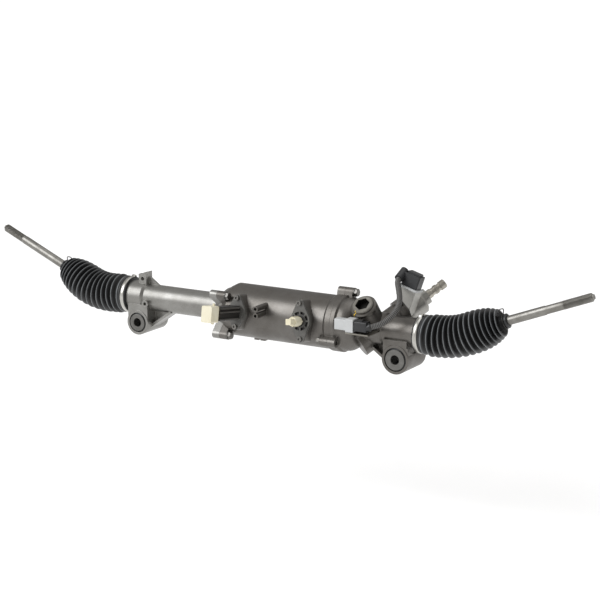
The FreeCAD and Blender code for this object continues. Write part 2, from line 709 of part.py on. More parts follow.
def stator_windings():
    """End turns of the coils and the straight sides that lie in the slots."""
    left = RACK.ring(WINDING_R, STATOR_BORE_R + 1, STATOR_X - WINDING_LENGTH, STATOR_X)
    right = RACK.ring(WINDING_R, STATOR_BORE_R + 1, STATOR_X + STATOR_LENGTH,
                      STATOR_X + STATOR_LENGTH + WINDING_LENGTH)
    bars = []
    for i in range(STATOR_TEETH):
        out = FreeCAD.Rotation(V(1, 0, 0), 360.0 * (i + 0.5) / STATOR_TEETH).multVec(V(0, 0, 1))
        line = Axis(V(0, 0, 0), out, V(1, 0, 0))
        bars.append(line.box(STATOR_BORE_R + 2, WINDING_R - 0.5, -2.8, 2.8,
                             STATOR_X, STATOR_X + STATOR_LENGTH))
    return joined([left, right] + bars)


def resolver_stator():
    end = RESOLVER_X + RESOLVER_WIDTH
    return RACK.ring(MOTOR_CAVITY_R, RESOLVER_BORE_R, RESOLVER_X, end)


def resolver_rotor():
    end = RESOLVER_X + RESOLVER_WIDTH
    hub = RACK.cylinder(RESOLVER_ROTOR_R - 1.2, RESOLVER_X, end)
    lobes = []
    for i in range(RESOLVER_LOBES):
        turn = 2 * math.pi * i / RESOLVER_LOBES
        off = RESOLVER_ROTOR_R / 2
        lobes.append(RACK.parallel(off * math.cos(turn), off * math.sin(turn)).cylinder(off, RESOLVER_X, end))
    return joined([hub] + lobes).cut(RACK.cylinder(ROTOR_R - RUNNING, RESOLVER_X - 1, end + 1))


def power_connector():
    line = pad_axis(POWER_X)
    flange_end = PAD_FACE + POWER_FLANGE_THICKNESS
    flange = diamond(line, POWER_FLANGE_R - 1, POWER_END_R - 0.5, POWER_BOLT_SPACING, PAD_FACE, flange_end)
    half_w, half_h = TOWER_WIDTH / 2, TOWER_HEIGHT / 2
    top = PAD_FACE + TOWER_LENGTH
    spigot = line.cylinder(half_h - SEAT, PAD_FACE - 8, PAD_FACE)
    tower = line.box(PAD_FACE, top, -half_w, half_w, -half_h, half_h)
    tower = rounded(tower, 3.0, runs_along(line.direction))
    ribs = []
    for i in range(TOWER_RIB_COUNT):
        up = (i - (TOWER_RIB_COUNT - 1) / 2) * TOWER_HEIGHT / TOWER_RIB_COUNT
        ribs.append(line.box(flange_end, top - CAP_LENGTH - 4, -half_w - TOWER_RIB, half_w + TOWER_RIB,
                             up - TOWER_RIB / 2, up + TOWER_RIB / 2))
    collar = line.cylinder(POWER_FLANGE_R - 5, PAD_FACE, flange_end + 3)
    holes = [place.cylinder(SCREW_R, PAD_FACE - 1, flange_end + 1)
             for place in flange_screw_places(line, POWER_BOLT_SPACING)]
    return joined([flange, spigot, tower, collar] + ribs).cut(holes)


def power_cap():
    """Transit cap over the end of the power connector."""
    line = pad_axis(POWER_X)
    end = PAD_FACE + TOWER_LENGTH + CAP_WALL
    start = end - CAP_LENGTH
    outer = line.box(start, end, -CAP_WIDTH / 2, CAP_WIDTH / 2, -CAP_HEIGHT / 2, CAP_HEIGHT / 2)
    outer = rounded(outer, 3.0, runs_along(line.direction))
    inner = line.box(start - 1, end - CAP_WALL, -TOWER_WIDTH / 2, TOWER_WIDTH / 2,
                     -TOWER_HEIGHT / 2, TOWER_HEIGHT / 2)
    tabs = []
    for way in (-1, 1):
        near, far = way * (CAP_HEIGHT / 2 - 1), way * (CAP_HEIGHT / 2 + CAP_TAB)
        tabs.append(line.box(start, start + 3, -2, 2, min(near, far), max(near, far)))
    return joined([outer] + tabs).cut(inner)


def angle_connector():
    line = pad_axis(ANGLE_X, ANGLE_FLANGE_TURN)
    end = PAD_FACE + ANGLE_FLANGE_THICKNESS
    flange = diamond(line, ANGLE_FLANGE_R - 1, ANGLE_END_R - 0.5, ANGLE_BOLT_SPACING, PAD_FACE, end)
    spigot = line.cylinder(ANGLE_RING_INNER_R - SEAT, PAD_FACE - 8, PAD_FACE)
    hub = line.cylinder(ANGLE_RING_INNER_R - 1.5, PAD_FACE, end + 5)
    slots = []
    ring = line.ring(ANGLE_RING_R, ANGLE_RING_INNER_R, PAD_FACE + 2, end + 1)
    spokes = []
    for i in range(ANGLE_SLOTS // 2):
        turn = math.pi * i / (ANGLE_SLOTS // 2)
        across = line.side * math.cos(turn) + line.up * math.sin(turn)
        spoke = Axis(line.origin, line.direction, across)
        spokes.append(spoke.box(PAD_FACE, end + 2, -1.5, 1.5, -ANGLE_RING_R - 1, ANGLE_RING_R + 1))
    slots.append(ring.cut(spokes))
    holes = [place.cylinder(SCREW_R, PAD_FACE - 1, end + 1)
             for place in flange_screw_places(line, ANGLE_BOLT_SPACING)]
    return joined([flange, spigot, hub]).cut(slots + holes)


def angle_plug():
    """Cream plug on the rotor angle sensor, with a square end."""
    line = pad_axis(ANGLE_X, ANGLE_FLANGE_TURN)
    start = PAD_FACE + ANGLE_FLANGE_THICKNESS + 5
    barrel = line.cylinder(PLUG_R, start, start + PLUG_LENGTH)
    half = PLUG_END_WIDTH / 2
    end_start = start + PLUG_LENGTH
    square = line.box(end_start, end_start + PLUG_END_LENGTH, -half, half, -half, half)
    square = rounded(square, 1.2, runs_along(line.direction))
    ribs = [line.box(start, end_start, -PLUG_R - 1, PLUG_R + 1, -1, 1),
            line.box(start, end_start, -1, 1, -PLUG_R - 1, PLUG_R + 1)]
    return joined([barrel, square] + ribs)


def cap_screw(place, face):
    head = place.cylinder(SCREW_HEAD_R, face, face + SCREW_HEAD_HEIGHT)
    shank = place.cylinder(SCREW_R - SEAT, face - 10, face)
    drive = place.hexagon(SCREW_HEAD_R, face + SCREW_HEAD_HEIGHT / 2, face + SCREW_HEAD_HEIGHT + 1)
    return joined([head, shank]).cut(drive)


def connector_screws():
    screws = []
    power_face = PAD_FACE + POWER_FLANGE_THICKNESS
    angle_face = PAD_FACE + ANGLE_FLANGE_THICKNESS
    for place in flange_screw_places(pad_axis(POWER_X), POWER_BOLT_SPACING):
        screws.append(cap_screw(place, power_face))
    for place in flange_screw_places(pad_axis(ANGLE_X, ANGLE_FLANGE_TURN), ANGLE_BOLT_SPACING):
        screws.append(cap_screw(place, angle_face))
    return group(screws)


def bell():
    """Outer form of the gear housing round the rack, with a round dome at the motor end."""
    seam_end = RIGHT_SEAM_X + SEAM_RING_WIDTH
    points = [(RIGHT_SEAM_X, 0), (RIGHT_SEAM_X, SEAM_RING_R), (seam_end - 3, SEAM_RING_R),
              (seam_end, BELL_R), (BELL_STRAIGHT_X, BELL_R)]
    flat = [V(radius, 0, x) for x, radius in points]
    after = [V(GEAR_TUBE_R, 0, BELL_END_X), V(GEAR_TUBE_R, 0, RIGHT_SPIGOT_X - 4),
             V(RIGHT_SPIGOT_R, 0, RIGHT_SPIGOT_X), V(RIGHT_SPIGOT_R, 0, RIGHT_END_X - 1.5),
             V(RIGHT_SPIGOT_R - 1.5, 0, RIGHT_END_X), V(0, 0, RIGHT_END_X)]
    middle = V(BELL_R - 5.5, 0, (BELL_STRAIGHT_X + BELL_END_X) / 2 + 3)
    dome = Part.Arc(flat[-1], middle, after[0]).toShape()
    edges = [Part.makeLine(a, b) for a, b in zip(flat, flat[1:])]
    edges.append(dome)
    edges += [Part.makeLine(a, b) for a, b in zip(after, after[1:])]
    edges.append(Part.makeLine(after[-1], flat[0]))
    return RACK.spun(edges)


def gear_housing():
    body = [bell()] + lug(RIGHT_LUG_X, RIGHT_LUG_R, RIGHT_SPIGOT_R)
    body += gusset(RIGHT_LUG_X, -1, RIGHT_LUG_R, RIGHT_SPIGOT_R)
    body += flange_ears(RIGHT_BOLT_ANGLES, RIGHT_SEAM_X, 1)
    body.append(GUIDE.cylinder(GUIDE_BOSS_R, 0, GUIDE_BOSS_END))
    body.append(PINION.cylinder(BARREL_R, BARREL_START, BARREL_END))
    flange_start = BARREL_END - SENSOR_FLANGE_THICKNESS
    body += sensor_ears(flange_start - 6, BARREL_END)
    stop_x = RIGHT_BALL_X - SOCKET_LENGTH - TRAVEL_LEFT - STOP_MARGIN
    bearing_end = SMALL_BEARING_X + SMALL_BEARING_WIDTH
    bore = RACK.turned([
        (RIGHT_SEAM_X - 1, 0), (RIGHT_SEAM_X - 1, SMALL_BEARING_R), (bearing_end, SMALL_BEARING_R),
        (bearing_end, ROTOR_R + 3), (bearing_end + 5, ROTOR_R + 3), (bearing_end + 5, ROTOR_BORE_R),
        (stop_x, ROTOR_BORE_R), (stop_x, STOP_R), (RIGHT_END_X + 1, STOP_R), (RIGHT_END_X + 1, 0),
    ])
    cuts = [bore, lug_bore(RIGHT_LUG_X, RIGHT_LUG_R), boot_relief(1)]
    cuts.append(GUIDE.cylinder(GUIDE_R + RUNNING, 0, GUIDE_PLUG_START + 1))
    cuts.append(GUIDE.cylinder(GUIDE_PLUG_R, GUIDE_PLUG_START - 1, GUIDE_BOSS_END + 1))
    cuts.append(PINION.cylinder(PINION_CAVITY_R, LOWER_JOURNAL_END - 3, BARREL_END + 1))
    cuts.append(PINION.cylinder(LOWER_BEARING_R, LOWER_BEARING_START, LOWER_BEARING_START + LOWER_BEARING_WIDTH))
    cuts.append(PINION.cylinder(UPPER_BEARING_R, UPPER_BEARING_START, BARREL_END + 1))
    cuts += bolt_holes(RIGHT_BOLT_ANGLES, RIGHT_SEAM_X - 1, RIGHT_SEAM_X + FLANGE_BOSS_LENGTH + 1, BOLT_R)
    cuts += [place.cylinder(SCREW_R, BARREL_END - 12, BARREL_END + 1) for place in sensor_screw_places()]
    return joined(body).cut(cuts)


def sensor_screw_places():
    places = []
    for turn in SENSOR_SCREW_ANGLES:
        angle = math.radians(turn)
        reach = SENSOR_SCREW_CIRCLE_R
        places.append(PINION.parallel(reach * math.cos(angle), reach * math.sin(angle)))
    return places


def sensor_ears(start, end):
    """Screw ears of the joint between gear housing and sensor housing."""
    pieces = [PINION.cylinder(SENSOR_FLANGE_R, start, end)]
    for place in sensor_screw_places():
        pieces.append(place.cylinder(SENSOR_EAR_R, start, end))
        out = place.origin - PINION.origin
        web = Axis(PINION.origin, out, PINION.direction)
        pieces.append(web.box(0, SENSOR_SCREW_CIRCLE_R, -SENSOR_EAR_R, SENSOR_EAR_R, start, end))
    return pieces


def tooth_flank(turn_angle):
    """Half-thickness angle of a pinion tooth at the radius where the involute turns by this angle."""
    pressure = math.radians(PRESSURE_ANGLE)
    involute = math.tan(pressure) - pressure
    half = math.pi / 2 / PINION_TEETH - BACKLASH / 2 / PITCH_R / 2
    return half + involute - (math.tan(turn_angle) - turn_angle)


def pinion_outline():
    """Involute teeth; each flank is a short chain of points from the base circle to the tip."""
    base_r = PITCH_R * math.cos(math.radians(PRESSURE_ANGLE))
    tip_r = PITCH_R + PINION_ADDENDUM
    root_r = PITCH_R - RACK_ADDENDUM - TOOTH_ROOT_GAP
    tip_turn = math.acos(base_r / tip_r)
    steps = 5
    flank = []
    for i in range(steps + 1):
        turn = tip_turn * i / steps
        flank.append((base_r / math.cos(turn), tooth_flank(turn)))
    outline = []
    for tooth in range(PINION_TEETH):
        centre = 2 * math.pi * tooth / PINION_TEETH + math.pi / 2
        rising = [(root_r, flank[0][1])] + flank
        for radius, half in rising:
            outline.append((radius * math.cos(centre - half), radius * math.sin(centre - half)))
        for radius, half in reversed(rising):
            outline.append((radius * math.cos(centre + half), radius * math.sin(centre + half)))
    return outline


def pinion_shaft():
    """Pinion with its teeth, two journals and a cup at the top for the input shaft."""
    teeth = PINION.prism(pinion_outline(), -PINION_FACE_HALF, PINION_FACE_HALF)
    root_r = PITCH_R - RACK_ADDENDUM - TOOTH_ROOT_GAP
    body = PINION.turned([
        (LOWER_JOURNAL_END, 0), (LOWER_JOURNAL_END, LOWER_JOURNAL_R - RUNNING),
        (LOWER_BEARING_START + LOWER_BEARING_WIDTH + 1, LOWER_JOURNAL_R - RUNNING),
        (LOWER_BEARING_START + LOWER_BEARING_WIDTH + 3, PINION_WAIST_R),
        (-PINION_FACE_HALF - 1, PINION_WAIST_R), (-PINION_FACE_HALF, root_r),
        (PINION_FACE_HALF, root_r), (PINION_FACE_HALF + 1, PINION_WAIST_R),
        (UPPER_BEARING_START - 4, PINION_WAIST_R), (UPPER_BEARING_START - 1, UPPER_JOURNAL_R - RUNNING),
        (PINION_HEAD_START, UPPER_JOURNAL_R - RUNNING), (PINION_HEAD_START, PINION_HEAD_R),
        (PINION_HEAD_END, PINION_HEAD_R), (PINION_HEAD_END, 0),
    ])
    cup = PINION.cylinder(INPUT_R + RUNNING, INPUT_START - APART, PINION_HEAD_END + 1)
    socket = PINION.cylinder(TORSION_BAR_R, TORSION_BAR_START, INPUT_START)
    return joined([teeth, body]).cut([cup, socket])


def rack_tooth_gap(x):
    """One space between two rack teeth, running along the pinion axis."""
    slope = math.tan(math.radians(PRESSURE_ANGLE))
    pitch = math.pi * MODULE
    deep = PINION_ADDENDUM + TOOTH_ROOT_GAP
    half_at_pitch = pitch / 4 + BACKLASH / 4
    low = half_at_pitch - deep * slope
    high = half_at_pitch + (RACK_ADDENDUM + 1) * slope
    line = Axis(V(x, 0, 0) - GUIDE_DIRECTION * (PINION_OFFSET - PITCH_R), PINION_DIRECTION, GUIDE_DIRECTION)
    outline = [(-low, deep), (low, deep), (high, -RACK_ADDENDUM - 1), (-high, -RACK_ADDENDUM - 1)]
    return line.prism(outline, -40, 40)


def rack_bar():
    left = LEFT_BALL_X + SOCKET_LENGTH
    right = RIGHT_BALL_X - SOCKET_LENGTH
    bar = RACK.cylinder(RACK_R, left, right)
    studs = [RACK.cylinder(SOCKET_STUD_R, left - SOCKET_STUD_LENGTH, left),
             RACK.cylinder(SOCKET_STUD_R, right, right + SOCKET_STUD_LENGTH)]
    start = PINION_X - TRAVEL_RIGHT - RACK_TOOTH_MARGIN
    end = PINION_X + TRAVEL_LEFT + RACK_TOOTH_MARGIN
    down = Axis(V(0, 0, 0), -GUIDE_DIRECTION, V(1, 0, 0))
    tip = PINION_OFFSET - PITCH_R + RACK_ADDENDUM
    flat = down.box(tip, RACK_R + 1, -RACK_R, RACK_R, start - 6, end + 6)
    count_left = int((PINION_X - start) / TOOTH_PITCH_X)
    count_right = int((end - PINION_X) / TOOTH_PITCH_X)
    gaps = [rack_tooth_gap(PINION_X + i * TOOTH_PITCH_X) for i in range(-count_left, count_right + 1)]
    return joined([bar] + studs).cut([flat] + gaps)


def ball_socket(outward):
    ball_x = LEFT_BALL_X if outward < 0 else RIGHT_BALL_X
    line = Axis(V(ball_x, 0, 0), V(outward, 0, 0), V(0, 0, 1))
    mouth = SOCKET_R / math.tan(math.radians(SOCKET_MOUTH))
    body = line.turned([(-SOCKET_LENGTH, 0), (-SOCKET_LENGTH, SOCKET_R - 2), (-SOCKET_LENGTH + 2, SOCKET_R),
                        (mouth, SOCKET_R), (mouth, 0)])
    cavity = Part.makeSphere(CAVITY_R, V(ball_x, 0, 0))
    wide = 3 * SOCKET_R
    cone = line.turned([(0, 0), (wide, 0), (wide, wide * math.tan(math.radians(SOCKET_MOUTH)))])
    bore = line.cylinder(SOCKET_STUD_R, -SOCKET_LENGTH - 1, -SOCKET_LENGTH + SOCKET_STUD_LENGTH + 0.4)
    flats = []
    for way in (-1, 1):
        near, far = way * (SOCKET_R - 1.8), way * (SOCKET_R + 1)
        flats.append(line.box(-SOCKET_LENGTH + 3, -SOCKET_LENGTH + 13, min(near, far), max(near, far),
                              -SOCKET_R, SOCKET_R))
    return body.cut([cavity, cone, bore] + flats)


def ball_seat(outward):
    """Polymer liner between ball and socket; it turns with the rod when the rod rises or falls."""
    rod = rod_axis(outward)
    line = Axis(rod.origin, V(rod.direction.x, 0, rod.direction.z), V(0, 1, 0))
    mouth = math.radians(LINER_MOUTH)
    middle = (mouth + math.pi) / 2

    def at(radius, angle):
        return V(radius * math.sin(angle), 0, radius * math.cos(angle))

    inner_r = BALL_R + RUNNING
    edges = [
        Part.Arc(at(LINER_R, mouth), at(LINER_R, middle), at(LINER_R, math.pi)).toShape(),
        Part.makeLine(at(LINER_R, math.pi), at(inner_r, math.pi)),
        Part.Arc(at(inner_r, math.pi), at(inner_r, middle), at(inner_r, mouth)).toShape(),
        Part.makeLine(at(inner_r, mouth), at(LINER_R, mouth)),
    ]
    return line.spun(edges)


def tie_rod(outward):
    line = rod_axis(outward)
    end = ROD_LENGTH - TIP_LENGTH
    thread_start = end - THREAD_LENGTH
    shaft = line.turned([
        (BALL_R * 0.5, 0), (BALL_R * 0.5, ROD_NECK_R), (ROD_NECK_END - 4, ROD_NECK_R), (ROD_NECK_END, ROD_R),
        (thread_start - THREAD_RUNOUT, ROD_R), (thread_start, THREAD_R), (end - THREAD_CHAMFER, THREAD_R),
        (end, THREAD_R - THREAD_CHAMFER), (end, TIP_R), (ROD_LENGTH, TIP_R - 0.6), (ROD_LENGTH, 0),
    ])
    ball = Part.makeSphere(BALL_R, line.origin)
    flats = []
    for way in (-1, 1):
        near, far = way * ROD_FLATS_WIDTH / 2, way * (ROD_R + 1)
        flats.append(line.box(ROD_FLATS_START, ROD_FLATS_END, -ROD_R - 1, ROD_R + 1, min(near, far), max(near, far)))
    return joined([shaft, ball]).cut(flats)


def boot_path(outward):
    """Points and directions on the bent centreline: a run, one arc round the ball and a run."""
    rod = rod_axis(outward)
    inner_x = LEFT_END_X if outward < 0 else RIGHT_END_X
    start_gap = abs(rod.origin.x - inner_x)
    inward = V(-outward, 0, 0)
    turn = math.acos(V(outward, 0, 0).dot(rod.direction))
    radius = BOOT_BEND_TANGENT / math.tan(turn / 2)
    first = start_gap - BOOT_BEND_TANGENT
    arc = radius * turn
    bend_start = rod.origin + inward * BOOT_BEND_TANGENT
    toward_centre = unit(rod.direction - V(outward, 0, 0) * math.cos(turn))
    centre = bend_start + toward_centre * radius

    def at(distance):
        if distance <= first:
            return rod.origin + inward * (start_gap - distance), V(outward, 0, 0)
        if distance <= first + arc:
            angle = (distance - first) / radius
            out = toward_centre * (-math.cos(angle)) + V(outward, 0, 0) * math.sin(angle)
            ahead = toward_centre * math.sin(angle) + V(outward, 0, 0) * math.cos(angle)
            return centre + out * radius, ahead
        rest = distance - first - arc
        return rod.point(BOOT_BEND_TANGENT + rest), V(rod.direction)

    length = first + arc + BOOT_NECK_T - BOOT_BEND_TANGENT
    return at, length


def boot_ring(at, distance, radius):
    place, ahead = at(distance)
    circle = Part.makeCircle(radius)
    circle.Placement = Axis(place, ahead, V(0, 1, 0)).placement()
    return Part.Wire(circle)


def fold_scale(fold):
    """Folds next to the rod get smaller, one after another."""
    left = BOOT_FOLDS - fold
    if left > BOOT_TAPER_FOLDS:
        return 1.0
    return 1.0 - 0.42 * (1.0 - left / (BOOT_TAPER_FOLDS + 1.0)) ** 1.2


def boot(outward):
    at, length = boot_path(outward)
    spigot_r = LEFT_SPIGOT_R if outward < 0 else RIGHT_SPIGOT_R
    cuff_end = BOOT_CUFF_LENGTH - BOOT_LIP
    neck_start = length - BOOT_NECK_LENGTH
    pitch = (neck_start - cuff_end) / BOOT_FOLDS
    slope = math.atan2(BOOT_CREST_R - BOOT_ROOT_R, pitch / 2)
    wall = BOOT_WALL / math.cos(slope)
    outer = [(-BOOT_LIP, BOOT_CUFF_R + 0.6), (cuff_end, BOOT_CUFF_R)]
    inner = [(-BOOT_LIP - 1, spigot_r + BOOT_SEAT), (1.0, spigot_r + BOOT_SEAT)]
    for fold in range(BOOT_FOLDS):
        crest = (cuff_end + pitch * (fold + 0.5), BOOT_CREST_R * fold_scale(fold))
        root = (cuff_end + pitch * (fold + 1), BOOT_ROOT_R * fold_scale(fold + 0.6))
        outer += [crest, root]
        if crest[0] > 2.0:
            inner.append((crest[0], crest[1] - wall))
        if root[0] > 2.0:
            inner.append((root[0], root[1] - wall))
    outer[-1] = (neck_start, BOOT_NECK_R)
    inner[-1] = (neck_start + 1, ROD_R + APART)
    outer.append((length, BOOT_NECK_R))
    inner.append((length + 1, ROD_R + APART))
    skin = Part.makeLoft([boot_ring(at, d, r) for d, r in outer], True, True)
    space = Part.makeLoft([boot_ring(at, d, r) for d, r in inner], True, True)
    return skin.cut(space)


def boot_clamp(outward):
    spigot_end = LEFT_END_X if outward < 0 else RIGHT_END_X
    middle = spigot_end - outward * CLAMP_FROM_END
    start, end = middle - CLAMP_WIDTH / 2, middle + CLAMP_WIDTH / 2
    inner = BOOT_CUFF_R + 0.9
    band = RACK.ring(inner + CLAMP_THICKNESS, inner, start, end)
    out = V(0, -0.5, 0.866)
    ear = Axis(V(middle, 0, 0), out, V(1, 0, 0))
    crimp = ear.box(inner, inner + 4.5, -CLAMP_EAR / 2, CLAMP_EAR / 2, -CLAMP_WIDTH / 2, CLAMP_WIDTH / 2)
    hollow = ear.box(inner + 1.2, inner + 3.2, -CLAMP_EAR / 2 + 1.2, CLAMP_EAR / 2 - 1.2,
                     -CLAMP_WIDTH / 2 - 1, CLAMP_WIDTH / 2 + 1)
    crimp = crimp.cut(RACK.cylinder(inner, start - 1, end + 1))
    return joined([band, crimp]).cut(hollow)


def boot_clip(outward):
    """Spring clip on the boot's small end, with its two finger ears."""
    line = rod_axis(outward)
    middle = BOOT_NECK_T - BOOT_NECK_LENGTH / 2
    inner = BOOT_NECK_R + APART
    band = line.ring(inner + CLIP_THICKNESS, inner, middle - CLIP_WIDTH / 2, middle + CLIP_WIDTH / 2)
    ears = []
    for way in (-1, 1):
        side = way * 3.0
        ears.append(line.box(middle - CLIP_WIDTH / 2, middle + CLIP_WIDTH / 2, side - 1, side + 1,
                             inner + 0.6, inner + CLIP_EAR))
    return joined([band] + ears)


def rack_guide():
    body = GUIDE.cylinder(GUIDE_R, RACK_R * 0.3, GUIDE_LENGTH)
    pocket = GUIDE.cylinder(SPRING_R + SPRING_WIRE_R + 0.4, GUIDE_LENGTH - 10, GUIDE_LENGTH + 1)
    groove = RACK.cylinder(RACK_R + RUNNING, PINION_X - 40, PINION_X + 40)
    return body.cut([groove, pocket])


def rack_guide_spring():
    """Guide spring, its coils drawn as closed turns of six-sided wire."""
    start = GUIDE_LENGTH - 10
    end = GUIDE_PLUG_START
    turns = int((end - start) / (2 * SPRING_WIRE_R))
    pitch = (end - start - 2 * SPRING_WIRE_R) / (turns - 1)
    coils = []
    for i in range(turns):
        middle = start + SPRING_WIRE_R + i * pitch
        angles = [math.radians(60 * k) for k in range(6)]
        coils.append(GUIDE.turned([(middle + SPRING_WIRE_R * math.cos(a), SPRING_R + SPRING_WIRE_R * math.sin(a))
                                   for a in angles]))
    return joined(coils)


def rack_guide_plug():
    body = GUIDE.turned([(GUIDE_PLUG_START, 0), (GUIDE_PLUG_START, GUIDE_PLUG_R), (GUIDE_PLUG_END - 2, GUIDE_PLUG_R),
                         (GUIDE_PLUG_END, GUIDE_PLUG_R - 2), (GUIDE_PLUG_END, 0)])
    hexagon = GUIDE.hexagon(GUIDE_SOCKET_WIDTH, GUIDE_PLUG_END - GUIDE_SOCKET_DEPTH, GUIDE_PLUG_END + 1)
    return body.cut(hexagon)


def rack_guide_locknut():
    start, end = GUIDE_BOSS_END, GUIDE_BOSS_END + LOCKNUT_HEIGHT
    body = GUIDE.turned([(start, GUIDE_PLUG_R), (start, LOCKNUT_R), (end - 2, LOCKNUT_R), (end, LOCKNUT_R - 2),
                         (end, GUIDE_PLUG_R)])
    return body


def pinion_bearing(start, width, outer, inner):
    middle = (outer + inner) / 2
    half = (outer - inner) / 5
    return PINION.turned([
        (start, inner), (start, outer), (start + width, outer), (start + width, middle + half),
        (start + width - 0.8, middle + half), (start + width - 0.8, middle - half),
        (start + width, middle - half), (start + width, inner),
    ])


def tower_axis():
    return Axis(V(*TOWER_TOP), V(*TOWER_DIRECTION), V(0, 1, 0))


def sensor_housing():
    """Light casting over the torque sensor: a barrel, a nose for the seal and a connector tower."""
    barrel = PINION.turned([
        (SENSOR_START, 0), (SENSOR_START, SENSOR_R), (SENSOR_END - 4, SENSOR_R), (SENSOR_END, SENSOR_R - 4),
        (SENSOR_END + 1, SENSOR_NOSE_R), (SENSOR_NOSE_END, SENSOR_NOSE_R), (SENSOR_NOSE_END, 0),
    ])
    tower = tower_axis()
    block = tower.box(-46, 0, -PLATE_WIDTH / 2 + 2, PLATE_WIDTH / 2 - 2, -PLATE_DEPTH / 2 + 1, PLATE_DEPTH / 2 - 1)
    bore = PINION.turned([
        (SENSOR_START - 1, 0), (SENSOR_START - 1, SENSOR_BORE_R), (SENSOR_END - 10, SENSOR_BORE_R),
        (SENSOR_END - 10, INPUT_COLLAR_R + 1), (SENSOR_NOSE_END - SEAL_WIDTH, INPUT_COLLAR_R + 1),
        (SENSOR_NOSE_END - SEAL_WIDTH, SEAL_R), (SENSOR_NOSE_END + 1, SEAL_R), (SENSOR_NOSE_END + 1, 0),
    ])
    below = PINION.box(SENSOR_START - 60, SENSOR_START, -60, 60, -60, 60)
    beside = RACK.cylinder(GEAR_TUBE_R + APART, BELL_STRAIGHT_X, RIGHT_END_X)
    cuts = [bore, below, beside]
    face = SENSOR_START + SENSOR_FLANGE_THICKNESS
    for place in sensor_screw_places():
        cuts.append(place.cylinder(SCREW_R, SENSOR_START - 1, face + 1))
        cuts.append(place.cylinder(SCREW_HEAD_R + SCREW_POCKET_GAP, face, SENSOR_NOSE_END))
    ears = sensor_ears(SENSOR_START, face)
    return joined([barrel, block] + ears).cut(cuts)


def sensor_screws():
    face = SENSOR_START + SENSOR_FLANGE_THICKNESS
    return group([cap_screw(place, face) for place in sensor_screw_places()])


def torque_coil():
    return PINION.ring(COIL_R, COIL_BORE_R, COIL_START, COIL_START + COIL_LENGTH)


def torque_ring():
    start = COIL_START + COIL_LENGTH - RING_LENGTH - 4
    ring = PINION.ring(RING_R, INPUT_COLLAR_R, start, start + RING_LENGTH)
    notches = []
    for i in range(8):
        turn = math.radians(45 * i)
        out = PINION.side * math.cos(turn) + PINION.up * math.sin(turn)
        notches.append(Axis(PINION.origin, PINION.direction, out).box(start - 1, start + RING_LENGTH + 1, -2, 2,
                                                                     RING_R - 1.5, RING_R + 1))
    return ring.cut(notches)


def input_shaft():
    collar_start = PINION_HEAD_END + APART
    collar_end = SENSOR_NOSE_END - SEAL_WIDTH - 2
    body = PINION.turned([
        (INPUT_START, 0), (INPUT_START, INPUT_R), (collar_start, INPUT_R), (collar_start, INPUT_COLLAR_R),
        (collar_end, INPUT_COLLAR_R), (collar_end, INPUT_R), (SERRATION_START - 8, INPUT_R),
        (SERRATION_START - 6, INPUT_R - 1.4), (SERRATION_START, INPUT_R - 1.4), (SERRATION_START, INPUT_R),
        (CLAMP_GROOVE_T - 3, INPUT_R), (CLAMP_GROOVE_T - 2, CLAMP_GROOVE_R), (CLAMP_GROOVE_T + 2, CLAMP_GROOVE_R),
        (CLAMP_GROOVE_T + 3, INPUT_R), (INPUT_END - 1.2, INPUT_R), (INPUT_END, INPUT_R - 1.2), (INPUT_END, 0),
    ])
    bore = PINION.cylinder(TORSION_BAR_R + APART, INPUT_START - 1, TORSION_BAR_END + 2)
    grooves = []
    for i in range(SERRATION_COUNT):
        turn = 2 * math.pi * i / SERRATION_COUNT
        out = PINION.side * math.cos(turn) + PINION.up * math.sin(turn)
        line = Axis(PINION.origin, PINION.direction, out)
        half = math.pi * INPUT_R / SERRATION_COUNT * SERRATION_SHARE
        outline = [(-half, INPUT_R - SERRATION_DEPTH), (half, INPUT_R - SERRATION_DEPTH),
                   (half, INPUT_R + 0.2), (-half, INPUT_R + 0.2)]
        grooves.append(line.prism(outline, SERRATION_START - 1, INPUT_END + 1))
    return body.cut([bore] + grooves)


def torsion_bar():
    return PINION.cylinder(TORSION_BAR_R, TORSION_BAR_START, TORSION_BAR_END)


def input_seal():
    start = SENSOR_NOSE_END - SEAL_WIDTH
    return PINION.turned([
        (start, INPUT_R + APART), (start, SEAL_R), (SENSOR_NOSE_END, SEAL_R), (SENSOR_NOSE_END, INPUT_R + 2),
        (SENSOR_NOSE_END - 2, INPUT_R + APART),
    ])


def sensor_plate():
    tower = tower_axis()
    plate = tower.box(0, PLATE_THICKNESS, -PLATE_WIDTH / 2, PLATE_WIDTH / 2, -PLATE_DEPTH / 2, PLATE_DEPTH / 2)
    return rounded(plate, 4.0, runs_along(tower.direction))


def sensor_header():
    """Black connector on the sensor, with a sloped side where the conduit leaves."""
    tower = tower_axis()
    start = PLATE_THICKNESS
    half_w, half_d = HEADER_WIDTH / 2, HEADER_DEPTH / 2
    body = tower.box(start, start + HEADER_HEIGHT, -half_w, half_w, -half_d, half_d)
    body = rounded(body, 3.0, runs_along(tower.direction))
    cap = tower.box(start + HEADER_HEIGHT, start + HEADER_HEIGHT + 4, -half_w + 5, half_w - 4, -half_d + 4, half_d - 4)
    end = V(*CONDUIT_ROUTE[-1])
    before = V(*CONDUIT_ROUTE[-2])
    gland = Axis(end, end - before, V(0, 0, 1)).cylinder(CONDUIT_R + 2.4, -8, 16)
    hole = Axis(end, end - before, V(0, 0, 1)).cylinder(CONDUIT_R + SEAT, -9, 0)
    return joined([body, cap, gland]).cut(hole)


